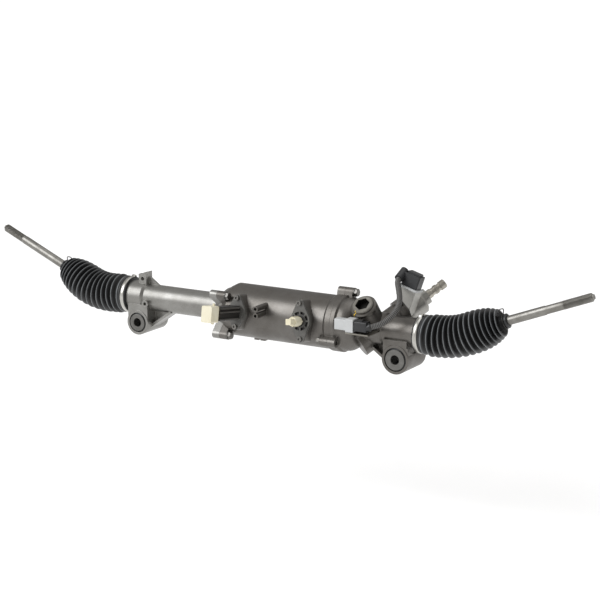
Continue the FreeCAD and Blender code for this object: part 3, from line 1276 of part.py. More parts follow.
def conduit():
    """Corrugated conduit: straight runs joined by tangent arcs, each as large as its runs allow."""
    points = [V(*place) for place in CONDUIT_ROUTE]
    edges = []
    radii = []
    here = points[0]
    for before, corner, after in zip(points, points[1:], points[2:]):
        run_in = corner - before
        run_out = after - corner
        turn = run_in.getAngle(run_out)
        tangent = 0.45 * min(run_in.Length, run_out.Length)
        radii.append(tangent / math.tan(turn / 2))
        start = corner - unit(run_in) * tangent
        end = corner + unit(run_out) * tangent
        bisector = unit(unit(run_out) - unit(run_in))
        centre_gap = math.hypot(radii[-1], tangent)
        middle = corner + bisector * (centre_gap - radii[-1])
        edges.append(Part.makeLine(here, start))
        edges.append(Part.Arc(start, middle, end).toShape())
        here = end
    edges.append(Part.makeLine(here, points[-1]))
    path = Part.Wire(edges)
    print("conduit bend radii", [round(radius, 1) for radius in radii], "length", round(path.Length, 1))
    section = Part.Wire(Part.makeCircle(CONDUIT_R, points[0], points[1] - points[0]))
    pipe = path.makePipeShell([section], True, False)
    print("conduit volume", round(pipe.Volume), "section times length",
          round(math.pi * CONDUIT_R ** 2 * path.Length))
    return pipe


def connector_line():
    return Axis(V(0, CONNECTOR_Y, CONNECTOR_Z), V(1, 0, 0), V(0, 0, 1))


def harness_plug():
    line = connector_line()
    start = PLUG_X
    end = PLUG_X + PLUG_BLOCK_LENGTH - 6
    body = line.box(start, end, -PLUG_BLOCK_DEPTH / 2, PLUG_BLOCK_DEPTH / 2,
                    -PLUG_BLOCK_HEIGHT / 2, PLUG_BLOCK_HEIGHT / 2)
    body = rounded(body, 2.5, runs_along(line.direction))
    latch = line.box(start + 3, start + 16, -4, 4, PLUG_BLOCK_HEIGHT / 2 - 1, PLUG_BLOCK_HEIGHT / 2 + 2)
    first = V(*CONDUIT_ROUTE[0])
    second = V(*CONDUIT_ROUTE[1])
    gland = Axis(first, second - first, V(0, 0, 1)).cylinder(CONDUIT_R + 2, end - first.x - 3, 0)
    return joined([body, latch, gland])


def harness_receptacle():
    line = connector_line()
    half_d, half_h = RECEPTACLE_DEPTH / 2, RECEPTACLE_HEIGHT / 2
    narrow = line.box(RECEPTACLE_X, RECEPTACLE_STEP_X, -half_d, half_d, -half_h, half_h)
    narrow = rounded(narrow, 2.0, runs_along(line.direction))
    lip = RECEPTACLE_LIP
    wide = line.box(RECEPTACLE_STEP_X, PLUG_X, -half_d - lip, half_d + lip, -half_h - lip, half_h + lip)
    wide = rounded(wide, 2.0, runs_along(line.direction))
    return joined([narrow, wide])


def harness_bracket():
    """Sheet steel bracket: a tab under the connector and a foot on the gear housing."""
    line = connector_line()
    top = -RECEPTACLE_HEIGHT / 2 - RECEPTACLE_LIP
    half = RECEPTACLE_DEPTH / 2 + RECEPTACLE_LIP
    depth = abs(CONNECTOR_Y) - GEAR_TUBE_R + 8
    shelf = line.box(BRACKET_X - 10, BRACKET_X + BRACKET_WIDTH, -half, depth, top - BRACKET_THICKNESS, top)
    housing = RACK.cylinder(GEAR_TUBE_R, BRACKET_X - 30, BRACKET_X + BRACKET_WIDTH + 10)
    boss = GUIDE.cylinder(GUIDE_BOSS_R, 0, GUIDE_BOSS_END)
    return shelf.cut([housing, boss, bell()])


def main():
    nodes = {
        "left_rack_housing": left_rack_housing(),
        "motor_housing": motor_housing(),
        "gear_housing": gear_housing(),
        "left_flange_bolts": flange_bolts(LEFT_BOLT_ANGLES, LEFT_SEAM_X, (1, 1, 1)),
        "right_flange_bolts": flange_bolts(RIGHT_BOLT_ANGLES, RIGHT_SEAM_X, (1, -1, -1)),
        "left_mount_sleeve": lug_sleeve(0),
        "right_mount_sleeve": lug_sleeve(RIGHT_LUG_X),
        "left_mount_rubber": lug_rubber(0, LEFT_LUG_R),
        "right_mount_rubber": lug_rubber(RIGHT_LUG_X, RIGHT_LUG_R),
        "rack_bush": rack_bush(),
        "large_motor_bearing": motor_bearing(LARGE_BEARING_X, LARGE_BEARING_WIDTH, MOTOR_CAVITY_R - 1.5, ROTOR_LARGE_R),
        "small_motor_bearing": motor_bearing(SMALL_BEARING_X, SMALL_BEARING_WIDTH, SMALL_BEARING_R, ROTOR_R),
        "stator_core": stator_core(),
        "stator_windings": stator_windings(),
        "angle_sensor_stator": resolver_stator(),
        "angle_sensor_rotor": resolver_rotor(),
        "rotor_shaft": rotor_shaft(),
        "rotor_magnets": rotor_magnets(),
        "ball_nut": ball_nut(),
        "power_connector": power_connector(),
        "power_connector_cap": power_cap(),
        "angle_sensor_connector": angle_connector(),
        "angle_sensor_plug": angle_plug(),
        "connector_screws": connector_screws(),
        "rack_bar": rack_bar(),
        "pinion_shaft": pinion_shaft(),
        "pinion_lower_bearing": pinion_bearing(LOWER_BEARING_START, LOWER_BEARING_WIDTH, LOWER_BEARING_R, LOWER_JOURNAL_R),
        "pinion_upper_bearing": pinion_bearing(UPPER_BEARING_START, UPPER_BEARING_WIDTH, UPPER_BEARING_R, UPPER_JOURNAL_R),
        "torsion_bar": torsion_bar(),
        "input_shaft": input_shaft(),
        "torque_ring": torque_ring(),
        "torque_coil": torque_coil(),
        "sensor_housing": sensor_housing(),
        "sensor_screws": sensor_screws(),
        "input_seal": input_seal(),
        "sensor_plate": sensor_plate(),
        "sensor_header": sensor_header(),
        "rack_guide": rack_guide(),
        "rack_guide_spring": rack_guide_spring(),
        "rack_guide_plug": rack_guide_plug(),
        "rack_guide_locknut": rack_guide_locknut(),
        "harness_conduit": conduit(),
        "harness_plug": harness_plug(),
        "harness_receptacle": harness_receptacle(),
        "harness_bracket": harness_bracket(),
    }
    for side, outward in (("left", -1), ("right", 1)):
        nodes[side + "_ball_socket"] = ball_socket(outward)
        nodes[side + "_ball_seat"] = ball_seat(outward)
        nodes[side + "_tie_rod"] = tie_rod(outward)
        nodes[side + "_boot"] = boot(outward)
        nodes[side + "_boot_clamp"] = boot_clamp(outward)
        nodes[side + "_boot_clip"] = boot_clip(outward)
    os.makedirs("parts", exist_ok=True)
    shift = V(0, -LUG_MID_Y, LUG_DROP)
    for name, shape in nodes.items():
        if not shape.isValid():
            print("not valid:", name)
        shape.translate(shift)
        shape.exportStep("parts/" + name + ".step")
        print(name, len(shape.Solids), round(shape.Volume), "mm3")


main()
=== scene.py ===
import bpy
import json
import math
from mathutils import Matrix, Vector


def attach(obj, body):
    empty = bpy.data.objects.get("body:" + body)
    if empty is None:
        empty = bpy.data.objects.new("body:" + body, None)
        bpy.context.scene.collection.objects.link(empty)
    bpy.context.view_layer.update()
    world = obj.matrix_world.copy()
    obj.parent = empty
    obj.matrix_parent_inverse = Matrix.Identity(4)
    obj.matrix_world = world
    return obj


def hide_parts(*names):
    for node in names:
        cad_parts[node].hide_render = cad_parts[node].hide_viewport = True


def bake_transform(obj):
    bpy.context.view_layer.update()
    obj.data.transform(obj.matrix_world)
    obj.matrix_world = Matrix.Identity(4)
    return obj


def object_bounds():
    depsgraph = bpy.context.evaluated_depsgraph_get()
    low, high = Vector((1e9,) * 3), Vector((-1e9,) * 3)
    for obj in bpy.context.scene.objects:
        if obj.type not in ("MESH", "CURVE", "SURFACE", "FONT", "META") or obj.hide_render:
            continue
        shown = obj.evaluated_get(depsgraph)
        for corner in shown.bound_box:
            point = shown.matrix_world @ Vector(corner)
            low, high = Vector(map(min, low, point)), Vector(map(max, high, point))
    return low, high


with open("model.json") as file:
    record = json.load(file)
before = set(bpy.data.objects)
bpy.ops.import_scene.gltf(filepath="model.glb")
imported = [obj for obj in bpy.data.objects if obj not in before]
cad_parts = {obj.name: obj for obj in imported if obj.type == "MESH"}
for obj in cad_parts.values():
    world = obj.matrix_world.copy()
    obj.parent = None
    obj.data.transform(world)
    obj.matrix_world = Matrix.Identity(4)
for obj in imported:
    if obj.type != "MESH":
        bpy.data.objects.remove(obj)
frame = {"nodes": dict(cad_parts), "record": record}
cad_box = [list(corner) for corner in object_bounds()]
nodes = frame["nodes"]

# Camera
AZIMUTH = math.radians(31.0)
ELEVATION = math.radians(12.6)
DISTANCE = 3.360
TARGET = Vector((0.3535, -0.005, 0.080))
back = Vector((math.sin(AZIMUTH) * math.cos(ELEVATION),
               -math.cos(AZIMUTH) * math.cos(ELEVATION), math.sin(ELEVATION)))
camera = bpy.data.objects.new("camera", bpy.data.cameras.new("camera"))
bpy.context.scene.collection.objects.link(camera)
camera.data.lens = 108.0
camera.data.sensor_width = 36.0
camera.location = TARGET + back * DISTANCE
camera.rotation_mode = "QUATERNION"
camera.rotation_quaternion = (-back).to_track_quat("-Z", "Y")
camera.data.clip_start = 0.05
camera.data.clip_end = 60.0
bpy.context.scene.camera = camera

# Places in the rack's own frame, in metres: X along the rack, Y to the back, Z up
SHIFT = Vector((0.0, -0.005, 0.047))
LEFT_BALL_X = -0.1085
RIGHT_BALL_X = 0.6615
ROD_RISE = math.radians(20.6)
ROD_SWEEP = math.radians(5.5)
RIGHT_LUG_X = 0.571
LUG_DROP = 0.047
LEFT_LUG_R = 0.0245
RIGHT_LUG_R = 0.0270
POWER_X = 0.253
POWER_FACE = 0.065
ANGLE_X = 0.392
ANGLE_FACE = 0.066
PAD_TILT = math.radians(9.0)
PAD_OUT = Vector((0, -math.cos(PAD_TILT), math.sin(PAD_TILT)))
PAD_UP = Vector((0, math.sin(PAD_TILT), math.cos(PAD_TILT)))
GUIDE_X = 0.5105
GUIDE_RISE = math.radians(50.0)
GUIDE_OUT = Vector((0, -math.cos(GUIDE_RISE), math.sin(GUIDE_RISE)))
SIDES = (("left", -1), ("right", 1))


def at_row(x, y, z):
    """A point of the rack's own frame, in the row frame."""
    return Vector((x, y, z)) + SHIFT


def rod_line(outward):
    """The ball's centre and the direction of one tie rod."""
    direction = Vector((outward * math.cos(ROD_RISE) * math.cos(ROD_SWEEP),
                        math.cos(ROD_RISE) * math.sin(ROD_SWEEP), math.sin(ROD_RISE)))
    return at_row(LEFT_BALL_X if outward < 0 else RIGHT_BALL_X, 0, 0), direction


def cross_pair(direction, hint=Vector((0, 0, 1))):
    """Two directions square to the given one, the second as near to the hint as it can be."""
    up = (hint - direction * direction.dot(hint)).normalized()
    return up.cross(direction).normalized(), up


# Shader helpers
def new_material(name):
    material = bpy.data.materials.new(name)
    material.use_nodes = True
    tree = material.node_tree
    shader = tree.nodes["Principled BSDF"]
    coords = tree.nodes.new("ShaderNodeTexCoord")
    return material, tree, shader, coords.outputs["Object"]


def noise(tree, coords, scale, detail=4.0, rough=0.55):
    node = tree.nodes.new("ShaderNodeTexNoise")
    node.inputs["Scale"].default_value = scale
    node.inputs["Detail"].default_value = detail
    node.inputs["Roughness"].default_value = rough
    tree.links.new(coords, node.inputs["Vector"])
    return node.outputs["Fac"]


def ramp(tree, value, low, high, a, b):
    """Colours a and b at values low and high."""
    node = tree.nodes.new("ShaderNodeValToRGB")
    node.color_ramp.elements[0].position = low
    node.color_ramp.elements[1].position = high
    node.color_ramp.elements[0].color = (*a, 1)
    node.color_ramp.elements[1].color = (*b, 1)
    tree.links.new(value, node.inputs["Fac"])
    return node.outputs["Color"]


def spread(tree, value, low, high, to_low, to_high):
    """The value's range low to high, carried over to the range to_low to to_high."""
    node = tree.nodes.new("ShaderNodeMapRange")
    node.inputs["From Min"].default_value = low
    node.inputs["From Max"].default_value = high
    node.inputs["To Min"].default_value = to_low
    node.inputs["To Max"].default_value = to_high
    tree.links.new(value, node.inputs["Value"])
    return node.outputs["Result"]


def mixed(tree, factor, a, b, mode="MIX"):
    """Mix of two colours; each input is a number, a colour or a socket."""
    node = tree.nodes.new("ShaderNodeMix")
    node.data_type = "RGBA"
    node.blend_type = mode
    for socket, value in ((node.inputs[0], factor), (node.inputs[6], a), (node.inputs[7], b)):
        if isinstance(value, (int, float)):
            socket.default_value = value
        elif isinstance(value, tuple):
            socket.default_value = (*value, 1)
        else:
            tree.links.new(value, socket)
    return node.outputs[2]


def bumped(tree, shader, heights, round_edges=0.0):
    """Chain of bumps (value, strength, distance), over edges rounded by the shader."""
    normal = None
    if round_edges:
        edge = tree.nodes.new("ShaderNodeBevel")
        edge.samples = 4
        edge.inputs["Radius"].default_value = round_edges
        normal = edge.outputs["Normal"]
    for value, strength, distance in heights:
        node = tree.nodes.new("ShaderNodeBump")
        node.inputs["Strength"].default_value = strength
        node.inputs["Distance"].default_value = distance
        tree.links.new(value, node.inputs["Height"])
        if normal is not None:
            tree.links.new(normal, node.inputs["Normal"])
        normal = node.outputs["Normal"]
    tree.links.new(normal, shader.inputs["Normal"])


def crest_value(tree):
    """The point attribute crest that add_crests gives a folded or ridged mesh."""
    node = tree.nodes.new("ShaderNodeAttribute")
    node.attribute_name = "crest"
    return node.outputs["Fac"]


def vector_math(tree, operation, value, constant=None):
    node = tree.nodes.new("ShaderNodeVectorMath")
    node.operation = operation
    tree.links.new(value, node.inputs[0])
    if constant is not None:
        node.inputs[1].default_value = constant
    return node


def along_and_away(tree, coords, foot, out):
    """Distance along an axis from its foot, and distance away from the axis."""
    apart = vector_math(tree, "SUBTRACT", coords, foot).outputs["Vector"]
    along = vector_math(tree, "DOT_PRODUCT", apart, out).outputs["Value"]
    across = vector_math(tree, "CROSS_PRODUCT", apart, out).outputs["Vector"]
    return along, vector_math(tree, "LENGTH", across).outputs["Value"]


# Materials
def cast_metal(name, light, dark, roughness):
    """Sand-cast and bead-blasted aluminium with a fine grain and slow stains."""
    material, tree, shader, coords = new_material(name)
    stains = noise(tree, coords, 26.0, 5.0, 0.6)
    grain = noise(tree, coords, 900.0, 2.0)
    color = ramp(tree, stains, 0.30, 0.72, dark, light)
    speckle = ramp(tree, grain, 0.3, 0.7, (0.25, 0.24, 0.22), (0.9, 0.88, 0.84))
    tree.links.new(mixed(tree, 0.18, color, speckle, "OVERLAY"), shader.inputs["Base Color"])
    shader.inputs["Metallic"].default_value = 0.85
    rough = spread(tree, stains, 0.3, 0.7, roughness + 0.05, roughness - 0.05)
    tree.links.new(rough, shader.inputs["Roughness"])
    bumped(tree, shader, [(grain, 0.25, 0.0002), (noise(tree, coords, 150.0, 3.0), 0.12, 0.0006)], 0.0012)
    return material


def steel(name, light, dark, roughness):
    """Bare, plated or magnetic metal with a slow change of tone."""
    material, tree, shader, coords = new_material(name)
    tone = noise(tree, coords, 60.0, 5.0, 0.6)
    fine = noise(tree, coords, 700.0, 2.0, 0.5)
    tree.links.new(ramp(tree, tone, 0.3, 0.7, dark, light), shader.inputs["Base Color"])
    shader.inputs["Metallic"].default_value = 1.0
    rough = spread(tree, tone, 0.3, 0.7, roughness + 0.08, roughness - 0.04)
    tree.links.new(rough, shader.inputs["Roughness"])
    bumped(tree, shader, [(fine, 0.12, 0.0001)], 0.0004)
    return material


def plastic(name, light, dark, roughness):
    """Moulded plastic, or paint."""
    material, tree, shader, coords = new_material(name)
    tone = noise(tree, coords, 30.0, 3.0)
    grain = noise(tree, coords, 1600.0, 1.0)
    tree.links.new(ramp(tree, tone, 0.3, 0.7, dark, light), shader.inputs["Base Color"])
    rough = spread(tree, tone, 0.3, 0.7, roughness + 0.05, roughness - 0.05)
    tree.links.new(rough, shader.inputs["Roughness"])
    bumped(tree, shader, [(grain, 0.08, 0.0001)], 0.0006)
    return material


def ridged_plastic(name, light, dark, roughness, ridge):
    """Plastic with ridges painted lighter than the grooves, as painted highlights on the ridges."""
    material = plastic(name, light, dark, roughness)
    tree = material.node_tree
    base = tree.nodes["Principled BSDF"].inputs["Base Color"]
    share = spread(tree, crest_value(tree), 0.55, 1.0, 0.0, 1.0)
    # Mix towards the ridge colour on the crests: painted highlight on the ridges
    tree.links.new(mixed(tree, share, base.links[0].from_socket, ridge), base)
    return material


def rubber(name):
    """Black rubber with a faint grey bloom and a moulded grain."""
    material, tree, shader, coords = new_material(name)
    bloom = noise(tree, coords, 40.0, 4.0)
    grain = noise(tree, coords, 1400.0, 2.0)
    tree.links.new(ramp(tree, bloom, 0.3, 0.75, (0.010, 0.011, 0.012), (0.024, 0.026, 0.028)),
                   shader.inputs["Base Color"])
    tree.links.new(spread(tree, bloom, 0.3, 0.7, 0.42, 0.34), shader.inputs["Roughness"])
    shader.inputs["Specular IOR Level"].default_value = 0.5
    bumped(tree, shader, [(grain, 0.10, 0.0001)])
    return material


def boot_rubber(name):
    """Black rubber, polished on the crests of the folds and dull in the valleys; lighter on the crests as a
    painted highlight and near-black in the valleys as painted shade.
    """
    material, tree, shader, coords = new_material(name)
    crest = crest_value(tree)
    stops = tree.nodes.new("ShaderNodeValToRGB")
    # Painted highlight on the crests of the folds, fading to painted shade in the valleys
    painted_light_tones = ((0.0, 0.004), (0.45, 0.008), (0.80, 0.022), (0.93, 0.055), (1.0, 0.20))
    while len(stops.color_ramp.elements) < len(painted_light_tones):
        stops.color_ramp.elements.new(0.5)
    for element, (place, tone) in zip(stops.color_ramp.elements, painted_light_tones):
        element.position = place
        element.color = (tone * 0.95, tone, tone * 1.04, 1)
    tree.links.new(crest, stops.inputs["Fac"])
    grain = noise(tree, coords, 1400.0, 2.0)
    bloom = ramp(tree, noise(tree, coords, 60.0, 4.0), 0.3, 0.75, (0.30, 0.30, 0.30), (0.75, 0.75, 0.75))
    color = mixed(tree, 0.5, stops.outputs["Color"], bloom, "OVERLAY")
    tree.links.new(color, shader.inputs["Base Color"])
    tree.links.new(spread(tree, crest, 0.2, 1.0, 0.55, 0.26), shader.inputs["Roughness"])
    shader.inputs["Specular IOR Level"].default_value = 0.5
    bumped(tree, shader, [(grain, 0.10, 0.0001)])
    return material


def connector_material(name, axis_x, face, ring_r, amber_end=None):
    """Moulded connector: grey at the flange's face and rims, black along the tower, and black inside the ring
    below the face as painted shade in its recesses.
    """
    material, tree, shader, coords = new_material(name)
    along, away = along_and_away(tree, coords, at_row(axis_x, 0, 0), PAD_OUT)
    tone = noise(tree, coords, 60.0, 3.0)
    grain = noise(tree, coords, 1600.0, 1.0)
    grey = ramp(tree, tone, 0.3, 0.7, (0.075, 0.073, 0.067), (0.120, 0.117, 0.108))
    black = ramp(tree, tone, 0.3, 0.7, (0.008, 0.008, 0.007), (0.018, 0.016, 0.013))
    at_face = spread(tree, along, face - 0.0016, face - 0.0008, 0.0, 1.0)
    on_flange = spread(tree, along, face + 0.0036, face + 0.0044, 1.0, 0.0)
    outside_ring = spread(tree, away, ring_r, ring_r + 0.0006, 0.0, 1.0)
    # Inside the ring, deeper than the face, the colour turns black: painted shade in the recesses
    lit = mixed(tree, outside_ring, at_face, (1.0, 1.0, 1.0))
    color = mixed(tree, on_flange, black, mixed(tree, lit, black, grey))
    if amber_end is not None:
        amber = spread(tree, along, amber_end - 0.030, amber_end - 0.012, 0.0, 0.6)
        color = mixed(tree, amber, color, (0.30, 0.20, 0.05))
    tree.links.new(color, shader.inputs["Base Color"])
    shader.inputs["Roughness"].default_value = 0.38
    bumped(tree, shader, [(grain, 0.08, 0.0001)], 0.0005)
    return material


def top_of(name):
    """How far a node reaches along the rack guide's axis."""
    node = nodes[name]
    foot = at_row(GUIDE_X, 0, 0)
    return max((node.matrix_world @ vertex.co - foot).dot(GUIDE_OUT) for vertex in node.data.vertices)


def socket_material(name, top, socket_r=0.0142):
    """Steel plug, lighter at its top rim, whose hexagon socket is near-black below the rim as painted shade.
    """
    material, tree, shader, coords = new_material(name)
    along, away = along_and_away(tree, coords, at_row(GUIDE_X, 0, 0), GUIDE_OUT)
    tone = noise(tree, coords, 90.0, 3.0)
    grain = noise(tree, coords, 1800.0, 1.0)
    outside = spread(tree, away, socket_r, socket_r + 0.0008, 0.0, 1.0)
    on_top = spread(tree, along, top - 0.0016, top - 0.0006, 0.0, 1.0)
    body = ramp(tree, tone, 0.3, 0.7, (0.13, 0.12, 0.105), (0.20, 0.19, 0.17))
    rim = ramp(tree, tone, 0.3, 0.7, (0.17, 0.16, 0.14), (0.25, 0.24, 0.215))
    # Near-black inside the socket below the rim: painted shade in the recess
    color = mixed(tree, on_top, mixed(tree, outside, (0.016, 0.015, 0.013), body), rim)
    tree.links.new(color, shader.inputs["Base Color"])
    shader.inputs["Metallic"].default_value = 0.55
    shader.inputs["Roughness"].default_value = 0.42
    bumped(tree, shader, [(grain, 0.10, 0.0001)], 0.0005)
    return material


# Looks: light colour, dark colour, roughness
CAST_LOOKS = {
    "cast_light": ((0.290, 0.288, 0.276), (0.215, 0.210, 0.197), 0.40),
    "cast_dark": ((0.160, 0.153, 0.144), (0.115, 0.107, 0.097), 0.40),
    "cast_raw": ((0.40, 0.395, 0.375), (0.31, 0.305, 0.285), 0.40),
}
STEEL_LOOKS = {
    "plated_steel": ((0.58, 0.57, 0.54), (0.44, 0.43, 0.40), 0.30),
    "bright_steel": ((0.52, 0.50, 0.45), (0.38, 0.355, 0.305), 0.30),
    "dark_steel": ((0.17, 0.16, 0.145), (0.10, 0.095, 0.085), 0.40),
    "rod_steel": ((0.27, 0.263, 0.245), (0.195, 0.188, 0.172), 0.42),
    "copper": ((0.78, 0.42, 0.24), (0.60, 0.30, 0.16), 0.35),
    "magnet": ((0.30, 0.30, 0.31), (0.20, 0.20, 0.21), 0.45),
    "bolt_steel": ((0.22, 0.213, 0.20), (0.14, 0.134, 0.125), 0.40),
    "sleeve_steel": ((0.19, 0.187, 0.178), (0.145, 0.141, 0.132), 0.50),
    "bracket_steel": ((0.30, 0.285, 0.25), (0.20, 0.19, 0.165), 0.42),
    "wire_steel": ((0.075, 0.072, 0.068), (0.04, 0.039, 0.037), 0.42),
}
PLASTIC_LOOKS = {
    "black_plastic": ((0.024, 0.025, 0.027), (0.012, 0.012, 0.013), 0.40),
    "grey_plastic": ((0.52, 0.53, 0.53), (0.44, 0.45, 0.45), 0.45),
    "cream_plastic": ((0.80, 0.76, 0.60), (0.70, 0.64, 0.46), 0.40),
    # rib_plastic is lighter than black_plastic as a painted highlight on the ribs
    "rib_plastic": ((0.105, 0.100, 0.092), (0.060, 0.056, 0.050), 0.36),
    "yellow_paint": ((0.74, 0.52, 0.05), (0.62, 0.40, 0.03), 0.45),
    "polymer_liner": ((0.85, 0.85, 0.80), (0.75, 0.75, 0.70), 0.30),
}
MATERIALS = {name: cast_metal(name, *look) for name, look in CAST_LOOKS.items()}
MATERIALS.update({name: steel(name, *look) for name, look in STEEL_LOOKS.items()})
MATERIALS.update({name: plastic(name, *look) for name, look in PLASTIC_LOOKS.items()})
MATERIALS["rubber"] = rubber("rubber")
MATERIALS["boot_rubber"] = boot_rubber("boot_rubber")
# The ridge colour is a painted highlight on the conduit's ridges
MATERIALS["conduit_plastic"] = ridged_plastic("conduit_plastic", (0.060, 0.058, 0.055), (0.034, 0.033, 0.032),
                                              0.42, (0.17, 0.167, 0.158))
MATERIALS["power_connector"] = connector_material("power_connector_plastic", POWER_X, POWER_FACE,
                                                  0.0158, 0.164)
MATERIALS["angle_connector"] = connector_material("angle_connector_plastic", ANGLE_X, ANGLE_FACE, 0.0180)
MATERIALS["socket_steel"] = socket_material("socket_steel", top_of("rack_guide_plug"))

# Nodes whose look isn't that of their slot
OWN_LOOKS = {
    "left_flange_bolts": "bolt_steel",
    "right_flange_bolts": "bolt_steel",
    "connector_screws": "bolt_steel",
    "sensor_screws": "bolt_steel",
    "harness_bracket": "bracket_steel",
    "sensor_housing": "cast_raw",
    "power_connector": "power_connector",
    "angle_sensor_connector": "angle_connector",
    "rack_guide_plug": "socket_steel",
}


def dress(obj, material):
    for slot in obj.material_slots:
        slot.material = material
    if not obj.material_slots:
        obj.data.materials.append(material)
    obj.data.shade_smooth()
    obj.data.set_sharp_from_angle(angle=math.radians(32))


SLOT_OF = {entry["node"]: entry["material_slot"] for entry in frame["record"]["subparts"]}
for name, node in nodes.items():
    dress(node, MATERIALS[OWN_LOOKS.get(name, SLOT_OF[name])])


# Mesh helpers
def add_mesh(name, points, faces, slot_name, body=None, smooth=True, material=None):
    mesh = bpy.data.meshes.new(name)
    mesh.from_pydata([tuple(point) for point in points], [], faces)
    mesh.update()
    obj = bpy.data.objects.new(name, mesh)
    bpy.context.scene.collection.objects.link(obj)
    mesh.materials.append(MATERIALS[material or slot_name])
    if smooth:
        mesh.shade_smooth()
        mesh.set_sharp_from_angle(angle=math.radians(40))
    if body:
        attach(obj, body)
    return obj


def circle(centre, across, up, radius, count):
    """Points round a circle, from across towards up."""
    angles = [2 * math.pi * i / count for i in range(count)]
    return [centre + across * (radius * math.cos(a)) + up * (radius * math.sin(a)) for a in angles]


def skin_rings(rings, closed_ends=(False, False)):
    """Points and faces of a skin over equal rings of points; each end may get a cap."""
    count = len(rings[0])
    points = [point for ring in rings for point in ring]
    faces = []
    for row in range(len(rings) - 1):
        for i in range(count):
            j = (i + 1) % count
            a, b = row * count, (row + 1) * count
            faces.append((a + i, a + j, b + j, b + i))
    if closed_ends[0]:
        faces.append(tuple(range(count - 1, -1, -1)))
    if closed_ends[1]:
        base = (len(rings) - 1) * count
        faces.append(tuple(base + i for i in range(count)))
    return points, faces


def add_crests(obj, shares, count):
    """Point attribute crest: one value for each ring of count points."""
    layer = obj.data.attributes.new("crest", "FLOAT", "POINT")
    for row, share in enumerate(shares):
        for k in range(count):
            layer.data[row * count + k].value = share


def between(before, a, b, after, t):
    """The point at share t from a to b, on a smooth line that heeds the points on either side."""
    return tuple(0.5 * (2 * a[c] + (b[c] - before[c]) * t
                        + (2 * before[c] - 5 * a[c] + 4 * b[c] - after[c]) * t * t
                        + (3 * a[c] - before[c] - 3 * b[c] + after[c]) * t ** 3) for c in (0, 1))


def smooth_line(points, step):
    """Points on a smooth line through the given ones (distance, radius)."""
    result = []
    for i in range(len(points) - 1):
        before = points[max(i - 1, 0)]
        a, b = points[i], points[i + 1]
        after = points[min(i + 2, len(points) - 1)]
        count = max(1, round(math.dist(a, b) / step))
        result += [between(before, a, b, after, k / count) for k in range(count)]
    result.append(points[-1])
    return result


# Tie rod, from the ball's centre outwards
ROD_LENGTH = 0.284
ROD_R = 0.0084
BALL_R = 0.014
POINT_R = 0.0001
ROD_NECK_R = 0.0070
ROD_NECK_START = 0.0122
ROD_NECK_END = 0.020
ROD_FULL_START = 0.024
THREAD_R = 0.0080
THREAD_PITCH = 0.0015
THREAD_DEPTH = 0.0008
THREAD_START = 0.226
THREAD_END = 0.2794
THREAD_RUNOUT = 0.003
THREAD_STEPS = 7
TIP_R = 0.0050
TIP_CHAMFER = 0.0006
TIP_LENGTH = 0.003
FLATS_START = 0.192
FLATS_END = 0.226
FLATS_HALF = 0.00725
ROD_SEGMENTS = 40

# Boot, from the clamped large end at distance 0 to the neck on the tie rod
LEFT_END_X = -0.040
RIGHT_END_X = 0.617
LEFT_SPIGOT_R = 0.0299
RIGHT_SPIGOT_R = 0.0276
BEND_TANGENT = 0.038
LEFT_NECK_T = 0.109
RIGHT_NECK_T = 0.121
SAG = 0.004
BOOT_CUFF_R = 0.0342
BOOT_CREST_R = 0.0385
BOOT_ROOT_R = 0.0298
BOOT_NECK_R = 0.0124
BOOT_NECK_LENGTH = 0.014
BOOT_LIP = 0.012
BOOT_RIDGE = 0.0062
BOOT_FIRST_CREST = 0.0185
BOOT_WALL = 0.0015
BOOT_BORE_R = 0.0270
ROD_CLEARANCE = 0.0004
BOOT_SEGMENTS = 80
BOOT_CRESTS = 14
BOOT_LAST_CRESTS = (0.0385, 0.0380, 0.0368, 0.0350, 0.0325, 0.0292, 0.0258)
BOOT_LAST_STEPS = (1.0, 1.0, 0.95, 0.86, 0.78, 0.72, 0.66)
PROFILE_STEP = 0.00075
STRETCH_START = 0.002
STRETCH_PAST_BALL = 0.025
BEND_PAST_BALL = 0.060


def ball_to_end(outward):
    """Distance along the rack from the boot's large end to the ball."""
    if outward < 0:
        return abs(LEFT_BALL_X - LEFT_END_X)
    return abs(RIGHT_BALL_X - RIGHT_END_X)


def boot_path(outward):
    """Places and directions along the boot: a run, an arc round the ball and a run, with a sag."""
    origin, rod = rod_line(outward)
    axis = Vector((outward, 0, 0))
    gap = ball_to_end(outward)
    turn = math.acos(axis.dot(rod))
    radius = BEND_TANGENT / math.tan(turn / 2)
    first = gap - BEND_TANGENT
    arc = radius * turn
    toward = (rod - axis * math.cos(turn)).normalized()
    centre = origin - axis * BEND_TANGENT + toward * radius
    length = first + arc + (LEFT_NECK_T if outward < 0 else RIGHT_NECK_T) - BEND_TANGENT

    def at(distance):
        if distance <= first:
            place, ahead = origin - axis * (gap - distance), axis
        elif distance <= first + arc:
            angle = (distance - first) / radius
            out = toward * -math.cos(angle) + axis * math.sin(angle)
            place, ahead = centre + out * radius, toward * math.sin(angle) + axis * math.cos(angle)
        else:
            place, ahead = origin + rod * (BEND_TANGENT + distance - first - arc), rod
        share = min(max(distance / length, 0.0), 1.0)
        drop = SAG * math.sin(math.pi * share) ** 2
        slope = SAG * math.pi / length * math.sin(2 * math.pi * share)
        return place - Vector((0, 0, drop)), (ahead - Vector((0, 0, slope))).normalized()

    return at, length


def cuff_points():
    """Lip, clamp seat and two low ridges of the boot's large end."""
    return [(-BOOT_LIP, BOOT_CUFF_R - 0.0006), (-BOOT_LIP + 0.0006, BOOT_CUFF_R + 0.0008),
            (-BOOT_LIP + 0.0018, BOOT_CUFF_R + 0.0006), (-0.0097, BOOT_CUFF_R - 0.0001),
            (-0.0055, BOOT_CUFF_R - 0.0001), (-0.0012, BOOT_CUFF_R), (0.0004, BOOT_CUFF_R + 0.0014),
            (0.0024, BOOT_CUFF_R + 0.0008), (BOOT_RIDGE - 0.0012, BOOT_CUFF_R + 0.0018),
            (BOOT_RIDGE + 0.0012, BOOT_CUFF_R + 0.0019)]


